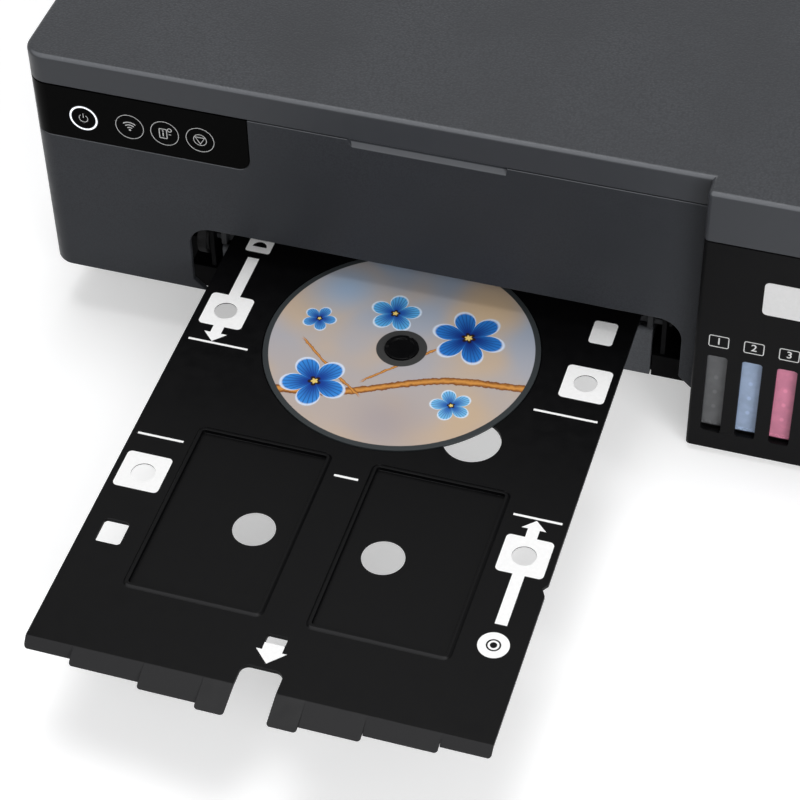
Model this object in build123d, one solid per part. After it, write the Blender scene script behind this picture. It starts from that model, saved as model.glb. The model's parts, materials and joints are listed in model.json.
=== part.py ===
from build123d import *
import math
import os

# A desktop inkjet photo printer with six refillable ink tanks and a disc tray pulled out at the front.
# Millimetres: x to the right, y away from the user, z up from the table. While it is drawn, x = 0 is
# the disc tray's centreline and y = 0 the disc's centre; the last step moves every piece to the origin.

# Casing
overall_width = 403.0
overall_depth = 369.0
overall_height = 149.1
foot_height = 3.0
foot_radius = 7.0
tank_front = 25.0
tank_width = 101.5
tank_depth = 205.0
front_step = 9.5
wall = 2.5
seam_gap = 0.6
fit_gap = 0.3
shaft_clearance = 0.05
cover_skirt = 15.0
tank_cover_skirt = 25.6
panel_bottom = 28.0
corner_radius = 10.0
small_corner_radius = 2.0
edge_radius = 2.2
base_front = 66.0
base_top = 30.0

# Front notch that the trays come out of
notch_left_room = 15.7
notch_right_room = 20.7
notch_post = 6.5
notch_top = 65.8
notch_radius = 11.0
notch_chamfer = 5.6
notch_tab = 6.0

# Hand grip in the front panel's top edge
grip_left = -33.0
grip_right = 36.4
grip_height = 3.7
grip_depth = 1.8
grip_end_slope = 2.4
grip_rib_depth = 1.5
grip_rib_height = 8.0

# Control panel that wraps the front left corner
bezel_width = 102.0
bezel_height = 28.0
bezel_depth = 1.5
bezel_side_reach = 26.0
bezel_corner = 6.0
button_radius = 5.9
button_gap = 0.25
button_drop = 31.1
button_depth = 5.0
button_stem_radius = 2.5
button_insets = {"power_button": 26.0, "wireless_button": 47.5, "info_button": 63.7, "stop_button": 80.0}
light_ring_radius = 6.6
light_ring_width = 1.15

# Top cover hinge
cover_back = 252.0
hinge_radius = 4.6
hinge_gap = 0.6
hinge_ear_width = 7.0
hinge_ear_gap = 0.5
hinge_pin_radius = 1.5
hinge_pin_reach = 9.0
hinge_ear_centres = (-150.0, 190.0)

# Rear feed opening, its flap and the sheet support
feed_opening_room = 8.6
feed_opening_front = 300.0
feed_opening_back = 352.0
flap_gap = 0.5
flap_barrel_radius = 1.8
flap_pin_radius = 1.0
flap_pin_length = 4.0
support_inset = 15.4
support_thickness = 3.0
support_length = 92.0
support_setback = 14.0
feed_lean = 25.0
hopper_top_y = 345.0
hopper_drop = 6.1
hopper_side_gap = 0.6
hopper_thickness = 2.5
hopper_start = 4.0
hopper_foot_gap = 2.445
hopper_pivot = 8.0
hopper_pivot_radius = 2.4
hopper_pin_radius = 1.5
guide_start = 14.0
guide_foot_gap = 26.0
guide_fence = 12.0
guide_base_width = 19.0
guide_thickness = 2.0
pickup_above_foot = 13.0
pickup_off = 18.7
pickup_radius = 13.0
pickup_half = 16.0
roller_shaft_radius = 3.0

# Disc tray
tray_half = 94.3
tray_top = 51.8
tray_thickness = 2.0
tray_front = -190.9
tray_back = 112.0
tray_corner = 6.0
tray_gap = 0.3
lip_drop = 3.8
lip_thickness = 0.6
lip_corner = 1.4
lip_edges = (8.6, 20.6, 45.0, 74.3)
lip_reaches = (12.5, 9.7, 6.6, 3.4)
pull_notch_depth = 10.4
pull_notch_radius = 3.5
disc_radius = 60.0
disc_bore = 7.5
disc_thickness = 1.2
disc_gap = 0.5
disc_recess = 0.9
hub_radius = 7.3
hub_rise = 2.1
hub_stem_radius = 4.9
hub_slot = 1.2
hub_dish_radius = 5.6
hub_dish_depth = 0.6
card_width = 54.6
card_length = 86.2
card_centre_x = 38.2
card_centre_y = -112.4
card_depth = 1.0
card_corner = 1.2
card_rim_width = 2.1
card_rim_height = 0.9
card_rim_slope = 0.85
card_hole_radius = 8.85
card_hole_x = 27.3
card_hole_y = -114.1
hole_lip = 0.5
hole_relief = 1.5
target_hole_radius = 5.0
target_hole_x = 81.2
target_hole_far_y = 1.4
target_hole_near_y = -98.5
finger_hole_radius = 12.3
finger_hole_x = 43.9
finger_hole_y = -43.4
sensor_hole_x = -81.6
sensor_hole_y = -132.0
sensor_hole_width = 10.9
sensor_hole_length = 12.3
arrow_hole_x = 0.4
arrow_hole_y = -166.2
arrow_hole_width = 8.4
arrow_hole_length = 4.4
edge_nick_y = -112.5
edge_nick_depth = 1.9

# Output tray under the disc tray
output_overhang = 2.7
output_panel_overhang = 5.7
output_front = 47.0
output_panel_bottom = 18.3
output_panel_top = 45.2
output_plate_z = 21.0
output_thickness = 2.5
output_back = 215.0
extension_inset = 12.0
extension_thickness = 2.0
extension_back = 195.0
extension_gap = 0.3
side_block_width = 15.5
side_block_top = 31.0

# Inner frames, rails and rollers
frame_plate_room = 9.7
frame_plate_thickness = 2.0
frame_low_top = 53.8
frame_back = 352.0
rail_ledge_reach = 5.8
rail_ledge_thickness = 2.7
rail_wall_thickness = 2.2
rail_front = 50.5
rail_back = 112.0
rail_rib_top = 61.0
rail_rib_width = 2.5
roller_radius = 6.0
exit_roller_y = 56.5
feed_roller_y = 124.0
exit_shaft_radius = 2.0
roller_gap = 1.2
belt_pulley_radius = 8.0
belt_pulley_width = 5.6
belt_thickness = 1.2
belt_width = 4.0
paper_guide_thickness = 2.7
paper_guide_ramp = 23.0
paper_guide_gap = 2.81
paper_guide_rise = 11.3

# Carriage drive
carriage_inset = 5.0
carriage_width = 46.0
carriage_front = 55.0
carriage_back = 112.0
carriage_bottom = 58.0
carriage_top = 118.0
carriage_wall = 2.5
head_inset = 5.0
head_width = 30.0
head_bottom = 54.6
guide_rod_radius = 4.0
guide_rod_y = 106.0
guide_rod_z = 66.0
drive_z = 92.0
drive_inset = 20.0
idler_inset = 17.5
drive_pulley_radius = 6.0
drive_axle_radius = 1.5
drive_belt_front = 114.0
drive_belt_width = 5.0
clamp_inset = 25.0
clamp_width = 10.0
clamp_thickness = 2.0
frame_sheet = 1.5
frame_sheet_y = 121.5
frame_sheet_bottom = 60.0
frame_sheet_top = 128.0
frame_flange_front = 98.0
frame_flange_top = 80.0
motor_radius = 14.0
motor_length = 34.0
feed_motor_radius = 16.0
feed_motor_length = 30.0
feed_motor_gap = 1.0

# Parts in the base
capping_margin = 2.0
capping_front = 69.5
capping_back = 104.0
capping_top = 54.2
supply_inset = 8.0
supply_width = 42.0
supply_front = 150.0
supply_length = 140.0
supply_height = 38.0
board_half = 95.0
board_front = 225.0
board_back = 345.0
board_thickness = 1.6
board_hole_inset = 8.0
connector_width = 28.0
connector_length = 14.0
connector_height = 8.0
connector_inset = 22.0
connector_setback = 8.0
standoff_height = 3.0
standoff_radius = 3.0
waste_inset = 11.0
waste_width = 80.0
waste_length = 92.0
waste_bottom = 6.5
waste_height = 20.5
inlet_inset = 41.0
inlet_z = 44.0
inlet_width = 22.0
inlet_height = 16.0
inlet_length = 22.0
inlet_recess_width = 15.0
inlet_recess_height = 9.0
inlet_recess_depth = 14.0
inlet_pin_radius = 1.2
inlet_pin_spacing = 6.8
usb_inset = 87.0
usb_z = 44.0
usb_width = 12.0
usb_height = 11.0
usb_length = 16.0
usb_shell = 0.8
usb_tongue_width = 5.6
usb_tongue_height = 3.2
end_screw_inset = 16.5
middle_screws = (-20.0, 100.0)
screw_z = 38.0
screw_radius = 1.4
screw_head_radius = 2.8
screw_head_height = 1.6
screw_length = 10.0
boss_half = 4.0
foot_inset = 17.0
front_foot_inset = 14.0

# Ink tanks
tank_count = 6
tank_pitch = 15.0
first_tank_inset = 10.4
ink_tank_width = 13.6
ink_tank_back = 112.0
ink_tank_drop = 18.0
ink_tank_wall = 1.5
neck_radius = 4.2
neck_bore = 1.8
neck_y = 60.0
neck_rise = 12.0
neck_gap = 0.3
window_width = 8.8
window_bottom = 13.8
window_height = 45.6
window_radius = 1.6
deck_drop = 49.1
deck_back = 125.0
cap_width = 11.0
cap_front = 50.0
cap_thickness = 5.0
cap_hinge_y = 78.0
cap_hinge_rise = 3.5
cap_hinge_radius = 2.8
cap_pin_radius = 1.2
cap_pin_reach = 1.7
ear_thickness = 3.0

# Worked out from the sizes above
notch_left = -tray_half - notch_left_room
notch_right = tray_half + notch_right_room
main_right = notch_right + notch_post
body_right = main_right + tank_width
body_left = body_right - overall_width
body_back = tank_front + overall_depth
main_front = tank_front + front_step
tank_left = main_right + seam_gap
tank_back = tank_front + tank_depth
cover_bottom = overall_height - cover_skirt
tank_cover_bottom = overall_height - tank_cover_skirt
panel_top = cover_bottom - seam_gap
tank_top = tank_cover_bottom - seam_gap
plate_bottom = overall_height - wall
inner_left = body_left + wall + fit_gap
inner_right = main_right - wall - fit_gap
floor_top = foot_height + wall
hinge_z = overall_height - hinge_radius
deck_front = cover_back + hinge_radius + hinge_gap
bezel_bottom = panel_top - bezel_height
bezel_right = body_left + bezel_width
button_height = overall_height - button_drop
power_button_radius = light_ring_radius - light_ring_width - button_gap
button_centres = {name: body_left + inset for name, inset in button_insets.items()}
frame_plate_x = tray_half + frame_plate_room
rail_ledge_in = tray_half - rail_ledge_reach
output_half = tray_half + output_overhang
output_panel_half = tray_half + output_panel_overhang
extension_half = output_half - extension_inset
tray_bottom = tray_top - tray_thickness
track_top = tray_bottom - tray_gap
roller_z = track_top - roller_radius
lean_cos = math.cos(math.radians(feed_lean))
lean_sin = math.sin(math.radians(feed_lean))
hopper_top_z = overall_height - hopper_drop
hopper_half = frame_plate_x - hopper_side_gap
hopper_end = (hopper_top_z - track_top - paper_guide_rise - hopper_foot_gap) / lean_cos
guide_end = hopper_end - guide_foot_gap
pickup_along = hopper_end - pickup_above_foot
feed_opening_half = hopper_half + feed_opening_room
support_half = hopper_half - support_inset
paper_guide_end = hopper_top_y - hopper_end * lean_sin - paper_guide_gap
paper_guide_flat_end = paper_guide_end - paper_guide_ramp
carriage_left = body_left + carriage_inset
clamp_left = carriage_left + clamp_inset
drive_x = body_left + drive_inset
idler_x = main_right - idler_inset
inlet_x = body_left + inlet_inset
usb_x = body_left + usb_inset
waste_left = body_right - waste_inset - waste_width
screw_centres = (body_left + end_screw_inset,) + middle_screws + (body_right - end_screw_inset,)
deck_z = overall_height - deck_drop
first_tank_x = tank_left + first_tank_inset
ink_tank_top = deck_z - ink_tank_drop
neck_top = deck_z + neck_rise
cap_hinge_z = neck_top + cap_hinge_rise

pieces = {}


# Shapes that many pieces are made of

def block(x0, x1, y0, y1, z0, z1):
    centre = Pos((x0 + x1) / 2, (y0 + y1) / 2, (z0 + z1) / 2)
    return centre * Box(x1 - x0, y1 - y0, z1 - z0)


def rod_x(y, z, radius, x0, x1):
    return Pos((x0 + x1) / 2, y, z) * Rot(0, 90, 0) * Cylinder(radius, x1 - x0)


def rod_y(x, z, radius, y0, y1):
    return Pos(x, (y0 + y1) / 2, z) * Rot(90, 0, 0) * Cylinder(radius, y1 - y0)


def rod_z(x, y, radius, z0, z1):
    return Pos(x, y, (z0 + z1) / 2) * Cylinder(radius, z1 - z0)


def outline(points, radii=None):
    """A flat face through the points; radii rounds the corners whose numbers it names."""
    face = make_face(Polyline(*points, close=True)).face()
    for number, radius in (radii or {}).items():
        x, y = points[number]
        corner = min(face.vertices(), key=lambda v: (v.X - x) ** 2 + (v.Y - y) ** 2)
        face = face.fillet_2d(radius, [corner])
    return face


def prism_z(points, z0, z1, radii=None):
    return extrude(Pos(0, 0, z0) * outline(points, radii), z1 - z0, dir=(0, 0, 1))


def prism_x(points_yz, x0, x1, radii=None):
    face = Plane(origin=(x0, 0, 0), x_dir=(0, 1, 0), z_dir=(1, 0, 0)) * outline(points_yz, radii)
    return extrude(face, x1 - x0, dir=(1, 0, 0))


def prism_y(points_xz, y0, y1, radii=None):
    face = Plane(origin=(0, y0, 0), x_dir=(1, 0, 0), z_dir=(0, -1, 0)) * outline(points_xz, radii)
    return extrude(face, y1 - y0, dir=(0, 1, 0))


def rounded_opening_y(x, z, width, height, radius, y0, y1):
    sketch = Plane(origin=(x, y0, z), x_dir=(1, 0, 0), z_dir=(0, -1, 0)) * RectangleRounded(width,
                                                                                            height, radius)
    return extrude(sketch, y1 - y0, dir=(0, 1, 0))


def rounded_plate(x, y, width, length, radius, z0, z1):
    return extrude(Pos(x, y, z0) * RectangleRounded(width, length, radius), z1 - z0)


def loop_belt(x_or_y, first, second, z, radius, thickness, width, along):
    """A flat belt round two equal pulleys at the same height."""
    outer = SlotCenterToCenter(second - first, 2 * (radius + thickness))
    inner = SlotCenterToCenter(second - first, 2 * radius)
    middle = (first + second) / 2
    if along == "x":
        plane = Plane(origin=(middle, x_or_y, z), x_dir=(1, 0, 0), z_dir=(0, -1, 0))
        return extrude(plane * (outer - inner), width, dir=(0, 1, 0))
    plane = Plane(origin=(x_or_y, middle, z), x_dir=(0, 1, 0), z_dir=(1, 0, 0))
    return extrude(plane * (outer - inner), width, dir=(1, 0, 0))


def main_plan(inset, front=None):
    """The main casing's outline from above, drawn in by inset, with an own front if one is given."""
    left = body_left + inset
    right = main_right - inset
    far_right = body_right - inset
    low = main_front + inset if front is None else front
    return [(left, low), (right, low), (right, tank_back + inset), (far_right, tank_back + inset),
            (far_right, body_back - inset), (left, body_back - inset)]


def cover_plan(inset):
    """The top cover's outline from above, over the main casing and the tank block."""
    left = body_left + inset
    right = body_right - inset
    step = main_right + seam_gap + inset
    return [(left, main_front + inset), (step, main_front + inset), (step, tank_front + inset),
            (right, tank_front + inset), (right, cover_back), (left, cover_back)]


def tank_plan(inset, back):
    left = tank_left + inset
    right = body_right - inset
    return [(left, tank_front + inset), (right, tank_front + inset), (right, back), (left, back)]


def on_lean(along, off):
    """A point of the leaning feed plane: down along it from its top, and off towards the front."""
    y = hopper_top_y - along * lean_sin - off * lean_cos
    z = hopper_top_z - along * lean_cos + off * lean_sin
    return (y, z)


def lean_slab(along0, along1, off0, off1, x0, x1):
    corners = [on_lean(along0, off0), on_lean(along0, off1), on_lean(along1, off1), on_lean(along1, off0)]
    return prism_x(corners, x0, x1)


pickup_y, pickup_z = on_lean(pickup_along, pickup_off)
hopper_pivot_y, hopper_pivot_z = on_lean(hopper_pivot, -hopper_thickness / 2)


# Casing

def make_lower_housing():
    outer = main_plan(wall + fit_gap, base_front)
    inner = main_plan(2 * wall + fit_gap, base_front + wall)
    tub = prism_z(outer, foot_height, base_top, {4: corner_radius - wall, 5: corner_radius - wall})
    tub -= prism_z(inner, floor_top, base_top + 1)
    shelf_top = output_plate_z - fit_gap
    shelf_front = output_front + output_thickness + seam_gap
    block_in = output_panel_half + seam_gap
    tub += block(-block_in, block_in, shelf_front, base_front + wall, shelf_top - wall, shelf_top)
    for side in (-1, 1):
        near, far = side * block_in, side * (block_in + side_block_width)
        tub += block(min(near, far), max(near, far), output_front, base_front + wall,
                     output_panel_bottom, side_block_top)
    tub -= block(-block_in, block_in, base_front - 1, base_front + wall + 1, shelf_top, base_top + 1)
    for x in (-output_half * 0.62, output_half * 0.62):
        tub += block(x - wall / 2, x + wall / 2, base_front + wall, output_back, floor_top, shelf_top)
    waste_top = waste_bottom + waste_height
    tub -= block(waste_left - fit_gap, waste_left + waste_width + fit_gap, body_back - 5 * wall, body_back,
                 waste_bottom - fit_gap, waste_top + fit_gap)
    boss_back = body_back - wall - fit_gap
    for x in screw_centres:
        boss = block(x - boss_half, x + boss_half, boss_back - screw_length, boss_back,
                     base_top - wall, screw_z + boss_half)
        tub += boss
        tub -= rod_y(x, screw_z, screw_radius + shaft_clearance, boss_back - screw_length - 1,
                     boss_back + 1)
    return tub


def bezel_region(grow):
    """The space that the control panel takes at the front left corner."""
    front = [(body_left + corner_radius, bezel_bottom - grow), (bezel_right + grow, bezel_bottom - grow),
             (bezel_right + grow, panel_top + 1), (body_left + corner_radius, panel_top + 1)]
    region = prism_y(front, main_front - 1, main_front + wall, {1: bezel_corner})
    region += block(body_left - 1, body_left + corner_radius, main_front - 1,
                    main_front + bezel_side_reach + grow,
                    bezel_bottom - grow, panel_top + 1)
    return region


def corner_layer(depth, bottom, top):
    """The casing's skin, depth thick, between two heights."""
    outer = prism_z(main_plan(0), bottom, top, {0: corner_radius})
    inner = prism_z(main_plan(depth), bottom - 1, top + 1, {0: corner_radius - depth})
    return outer - inner


def make_main_housing():
    shell = prism_z(main_plan(0), panel_bottom, panel_top,
                    {0: corner_radius, 4: corner_radius, 5: corner_radius})
    shell -= prism_z(main_plan(wall), panel_bottom - 1, panel_top + 1,
                     {0: corner_radius - wall, 4: corner_radius - wall, 5: corner_radius - wall})
    notch = [(notch_left, panel_bottom - 1), (notch_right, panel_bottom - 1),
             (notch_right, notch_top), (notch_left, notch_top)]
    shell -= prism_y(notch, main_front - 1, main_front + wall + 1, {2: notch_radius, 3: notch_radius})
    tab = [(notch_left, panel_bottom), (notch_left + notch_tab, panel_bottom),
           (notch_left, panel_bottom + notch_chamfer)]
    shell += prism_y(tab, main_front, main_front + wall)
    cut = [(notch_right - 1, panel_bottom - 1), (notch_right + notch_chamfer, panel_bottom - 1),
           (notch_right + notch_chamfer, panel_bottom), (notch_right, panel_bottom + notch_chamfer),
           (notch_right - 1, panel_bottom + notch_chamfer)]
    shell -= prism_y(cut, main_front - 1, main_front + wall)
    rib_front = main_front + wall / 2
    shell += block(grip_left, grip_right, rib_front, main_front + wall + grip_rib_depth,
                   panel_top - grip_rib_height, panel_top)
    grip_low = panel_top - grip_height
    scoop = [(main_front - 1, grip_low - 1), (main_front + grip_depth, grip_low + grip_depth),
             (main_front + grip_depth, panel_top + 1), (main_front - 1, panel_top + 1)]
    ends = [(grip_left, panel_top + 1), (grip_left, panel_top), (grip_left + grip_end_slope, grip_low - 1),
            (grip_right, grip_low - 1), (grip_right, panel_top + 1)]
    shell -= prism_x(scoop, grip_left, grip_right) & prism_y(ends, main_front - 1, main_front + grip_depth)
    recess = corner_layer(bezel_depth, bezel_bottom - fit_gap, panel_top + 1) & bezel_region(fit_gap / 2)
    shell -= recess
    for name, x in button_centres.items():
        hole = button_radius + button_gap + fit_gap
        if name == "power_button":
            hole = light_ring_radius + fit_gap
        shell -= rod_y(x, button_height, hole, main_front - 1, main_front + wall + 1)
    rear = body_back - wall
    shell -= block(inlet_x - inlet_width / 2 - fit_gap, inlet_x + inlet_width / 2 + fit_gap, rear - 1,
                   body_back + 1,
                   inlet_z - inlet_height / 2 - fit_gap, inlet_z + inlet_height / 2 + fit_gap)
    shell -= block(usb_x - usb_width / 2 - fit_gap, usb_x + usb_width / 2 + fit_gap, rear - 1,
                   body_back + 1,
                   usb_z - usb_height / 2 - fit_gap, usb_z + usb_height / 2 + fit_gap)
    for x in screw_centres:
        shell -= rod_y(x, screw_z, screw_radius + shaft_clearance, rear - 1, body_back + 1)
    return shell


def make_tank_housing():
    back = tank_back - seam_gap
    tub = prism_z(tank_plan(0, back), foot_height, tank_top, {0: small_corner_radius, 1: corner_radius})
    tub -= prism_z(tank_plan(wall, back - wall), floor_top, tank_top + 1, {1: corner_radius - wall})
    tub += block(tank_left + wall / 2, body_right - wall / 2, tank_front + wall / 2, deck_back, deck_z,
                 deck_z + wall)
    for number in range(tank_count):
        x = first_tank_x + number * tank_pitch
        tub -= rounded_opening_y(x, window_bottom + window_height / 2, window_width, window_height,
                                 window_radius, tank_front - 1, tank_front + wall + 1)
        tub -= rod_z(x, neck_y, neck_radius + neck_gap, deck_z - 1, deck_z + wall + 1)
    ear_back = cap_hinge_y + cap_hinge_radius
    for number in range(tank_count + 1):
        x = first_tank_x + (number - 0.5) * tank_pitch
        tub += block(x - ear_thickness / 2, x + ear_thickness / 2, cap_hinge_y - cap_hinge_radius, ear_back,
                     deck_z + wall, cap_hinge_z + cap_hinge_radius)
    start = first_tank_x - tank_pitch
    tub -= rod_x(cap_hinge_y, cap_hinge_z, cap_pin_radius + shaft_clearance, start,
                 start + (tank_count + 1) * tank_pitch)
    return tub


def make_top_cover():
    cover = prism_z(cover_plan(0), cover_bottom, overall_height,
                    {0: corner_radius, 2: small_corner_radius, 3: corner_radius})
    rim = [edge for edge in cover.edges()
           if edge.center().Z > overall_height - 0.01 and edge.center().Y < cover_back - 1]
    cover = fillet(rim, edge_radius)
    inner = [(x, y - wall if y == cover_back else y) for x, y in cover_plan(wall)]
    cover -= prism_z(inner, cover_bottom - 1, plate_bottom, {0: corner_radius - wall,
                                                             3: corner_radius - wall})
    skirt_back = tank_back - seam_gap
    skirt = prism_z(tank_plan(0, skirt_back), tank_cover_bottom, cover_bottom,
                    {0: small_corner_radius, 1: corner_radius})
    skirt -= prism_z(tank_plan(wall, skirt_back - wall), tank_cover_bottom - 1, cover_bottom + 1,
                     {1: corner_radius - wall})
    cover += skirt
    wall_back = skirt_back
    cover += block(tank_left, tank_left + wall, main_front + wall / 2, wall_back, tank_cover_bottom,
                   plate_bottom)
    cover += block(tank_left, body_right - wall / 2, wall_back - wall, wall_back, tank_cover_bottom,
                   plate_bottom)
    cover += rod_x(cover_back, hinge_z, hinge_radius, body_left, body_right)
    for x in hinge_ear_centres:
        half = hinge_ear_width / 2 + hinge_ear_gap
        cover -= block(x - half, x + half, cover_back - hinge_radius - 2 * hinge_gap,
                       cover_back + hinge_radius + 1,
                       hinge_z - hinge_radius - 1, overall_height + 1)
        reach = half + hinge_pin_reach
        cover -= rod_x(cover_back, hinge_z, hinge_pin_radius + shaft_clearance, x - reach, x + reach)
    return cover


def make_rear_housing():
    back_radius = corner_radius
    plan = [(body_left, deck_front), (body_right, deck_front), (body_right, body_back), (body_left,
                                                                                         body_back)]
    deck = prism_z(plan, cover_bottom, overall_height, {2: back_radius, 3: back_radius})
    rim = [edge for edge in deck.edges()
           if edge.center().Z > overall_height - 0.01 and edge.center().Y > deck_front + 1]
    deck = fillet(rim, edge_radius)
    inner = [(body_left + wall, deck_front + wall), (body_right - wall, deck_front + wall),
             (body_right - wall, body_back - wall), (body_left + wall, body_back - wall)]
    deck -= prism_z(inner, cover_bottom - 1, plate_bottom, {2: back_radius - wall, 3: back_radius - wall})
    for x in hinge_ear_centres:
        half = hinge_ear_width / 2
        ear_radius = hinge_radius - 0.2
        deck += block(x - half, x + half, cover_back, deck_front + 1, hinge_z - ear_radius,
                      hinge_z + ear_radius)
        deck += rod_x(cover_back, hinge_z, ear_radius, x - half, x + half)
        deck -= rod_x(cover_back, hinge_z, hinge_pin_radius + shaft_clearance, x - half - 1, x + half + 1)
    deck -= block(-feed_opening_half, feed_opening_half, feed_opening_front, feed_opening_back,
                  plate_bottom - 1, overall_height + 1)
    boss_half_size = flap_barrel_radius + wall / 2
    for side in (-1, 1):
        near, far = side * feed_opening_half, side * (feed_opening_half + 2 * flap_pin_length)
        deck += block(min(near, far), max(near, far), flap_hinge_y - boss_half_size,
                      flap_hinge_y + boss_half_size,
                      flap_hinge_z - boss_half_size, plate_bottom + wall / 2)
    pin_end = feed_opening_half + flap_pin_length + 1
    deck -= rod_x(flap_hinge_y, flap_hinge_z, flap_pin_radius + shaft_clearance, -pin_end, pin_end)
    clearance = fit_gap + 0.1
    deck -= lean_slab(-2 * support_setback, support_setback,
                      -support_setback - support_thickness / 2 - clearance,
                      -support_setback + support_thickness / 2 + clearance,
                      -support_half - clearance, support_half + clearance)
    return deck


flap_hinge_y = feed_opening_front + flap_gap + flap_barrel_radius
flap_hinge_z = overall_height - flap_barrel_radius - 0.2


def make_rear_feed_cover():
    half = feed_opening_half - flap_gap
    flap = block(-half, half, flap_hinge_y, feed_opening_back - flap_gap, plate_bottom, overall_height)
    corners = [edge for edge in flap.edges().filter_by(Axis.Z) if edge.center().Y > flap_hinge_y + 1]
    flap = fillet(corners, small_corner_radius)
    flap += rod_x(flap_hinge_y, flap_hinge_z, flap_barrel_radius, -half, half)
    pin = half + flap_gap + flap_pin_length
    flap += rod_x(flap_hinge_y, flap_hinge_z, flap_pin_radius, -pin, pin)
    return flap


def make_cover_hinge_pins():
    reach = hinge_ear_width / 2 + hinge_ear_gap + hinge_pin_reach - 1
    return [rod_x(cover_back, hinge_z, hinge_pin_radius, x - reach, x + reach) for x in hinge_ear_centres]


# Control panel

def make_control_panel():
    bezel = corner_layer(bezel_depth - fit_gap / 3, bezel_bottom, panel_top) & bezel_region(0)
    for name, x in button_centres.items():
        hole = button_radius + button_gap
        if name == "power_button":
            hole = light_ring_radius + button_gap
        bezel -= rod_y(x, button_height, hole, main_front - 1, main_front + wall)
    return bezel


def make_button(x, radius):
    button = rod_y(x, button_height, radius, main_front, main_front + wall)
    button += rod_y(x, button_height, button_stem_radius, main_front, main_front + button_depth)
    return button


def make_power_light_ring():
    x = button_centres["power_button"]
    inner = light_ring_radius - light_ring_width
    ring = rod_y(x, button_height, light_ring_radius, main_front, main_front + wall)
    return ring - rod_y(x, button_height, inner, main_front - 1, main_front + wall + 1)


# Disc tray

def make_disc_tray():
    plan = [(-tray_half, tray_front), (tray_half, tray_front), (tray_half, tray_back), (-tray_half,
                                                                                        tray_back)]
    tray = prism_z(plan, tray_bottom, tray_top, {2: tray_corner, 3: tray_corner})
    outer_edges = lip_edges[1:] + (tray_half,)
    for inner_x, outer_x, reach in zip(lip_edges, outer_edges, lip_reaches):
        tip = tray_front - reach
        low = tray_top - lip_drop
        profile = [(tray_front + 1, tray_top), (tray_front, tray_top), (tip, low), (tip,
                                                                                    low - lip_thickness),
                   (tray_front, tray_bottom), (tray_front + 1, tray_bottom)]
        plan = [(inner_x, tray_front + 1), (inner_x, tip), (outer_x, tip), (outer_x, tray_front + 1)]
        radii = {1: lip_corner, 2: lip_corner} if inner_x == lip_edges[0] else {2: lip_corner}
        flap = prism_x(profile, inner_x, outer_x) & prism_z(plan, low - lip_thickness - 1, tray_top + 1,
                                                            radii)
        tray += flap
        tray += mirror(flap, about=Plane.YZ)
    notch_half = lip_edges[0]
    far = tray_front + pull_notch_depth
    near = tray_front - max(lip_reaches) - 1
    notch = [(-notch_half, near), (notch_half, near), (notch_half, far), (-notch_half, far)]
    tray -= prism_z(notch, tray_bottom - lip_drop - 1, tray_top + 1, {2: pull_notch_radius,
                                                                      3: pull_notch_radius})
    for side in (-1, 1):
        x = side * card_centre_x
        rim_width = card_width + 2 * card_rim_width
        rim_length = card_length + 2 * card_rim_width
        rim = rounded_plate(x, card_centre_y, rim_width, rim_length, card_corner + card_rim_width,
                            tray_top - card_depth / 2, tray_top + card_rim_height)
        tray += chamfer(rim.faces().sort_by(Axis.Z)[-1].edges(), card_rim_slope)
        tray -= rounded_plate(x, card_centre_y, card_width, card_length, card_corner,
                              tray_top - card_depth, tray_top + 1)
        tray -= rod_z(side * card_hole_x, card_hole_y, card_hole_radius, tray_bottom - 1, tray_top)
        tray -= rod_z(side * card_hole_x, card_hole_y, card_hole_radius + hole_relief, tray_bottom - 1,
                      tray_top - card_depth - hole_lip)
        for y in (target_hole_far_y, target_hole_near_y):
            tray -= rod_z(side * target_hole_x, y, target_hole_radius, tray_bottom - 1, tray_top + 1)
            tray -= rod_z(side * target_hole_x, y, target_hole_radius + hole_relief, tray_bottom - 1,
                          tray_top - hole_lip)
    tray -= rod_z(finger_hole_x, finger_hole_y, finger_hole_radius, tray_bottom - 1, tray_top + 1)
    tray -= rod_z(0, 0, disc_radius + disc_gap, tray_top - disc_recess, tray_top + 1)
    tray -= rod_z(0, 0, hub_stem_radius, tray_bottom - 1, tray_top + 1)
    tray -= rounded_plate(sensor_hole_x, sensor_hole_y, sensor_hole_width, sensor_hole_length, 1.5,
                          tray_bottom - 1, tray_top + 1)
    tray -= rounded_plate(arrow_hole_x, arrow_hole_y, arrow_hole_width, arrow_hole_length, 0.8,
                          tray_bottom - 1, tray_top + 1)
    nick = [(tray_half + 1, edge_nick_y + 3.6), (tray_half, edge_nick_y + 2.8),
            (tray_half - edge_nick_depth, edge_nick_y), (tray_half, edge_nick_y - 3.6),
            (tray_half + 1, edge_nick_y - 3.6)]
    tray -= prism_z(nick, tray_bottom - 1, tray_top + 1)
    return tray


def make_disc_hub():
    floor = tray_top - disc_recess
    hub = rod_z(0, 0, hub_radius, floor, floor + hub_rise)
    hub += rod_z(0, 0, hub_stem_radius, tray_bottom, floor)
    dish_floor = floor + hub_rise - hub_dish_depth
    hub -= rod_z(0, 0, hub_dish_radius, dish_floor, floor + hub_rise + 1)
    for angle in (75, 195, 315):
        hub -= Rot(0, 0, angle) * block(hub_dish_radius - 1, hub_radius + 1, -hub_slot / 2, hub_slot / 2,
                                        dish_floor, floor + hub_rise + 1)
    return hub


def make_disc():
    floor = tray_top - disc_recess
    disc = rod_z(0, 0, disc_radius, floor, floor + disc_thickness)
    return disc - rod_z(0, 0, disc_bore, floor - 1, floor + disc_thickness + 1)


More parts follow.
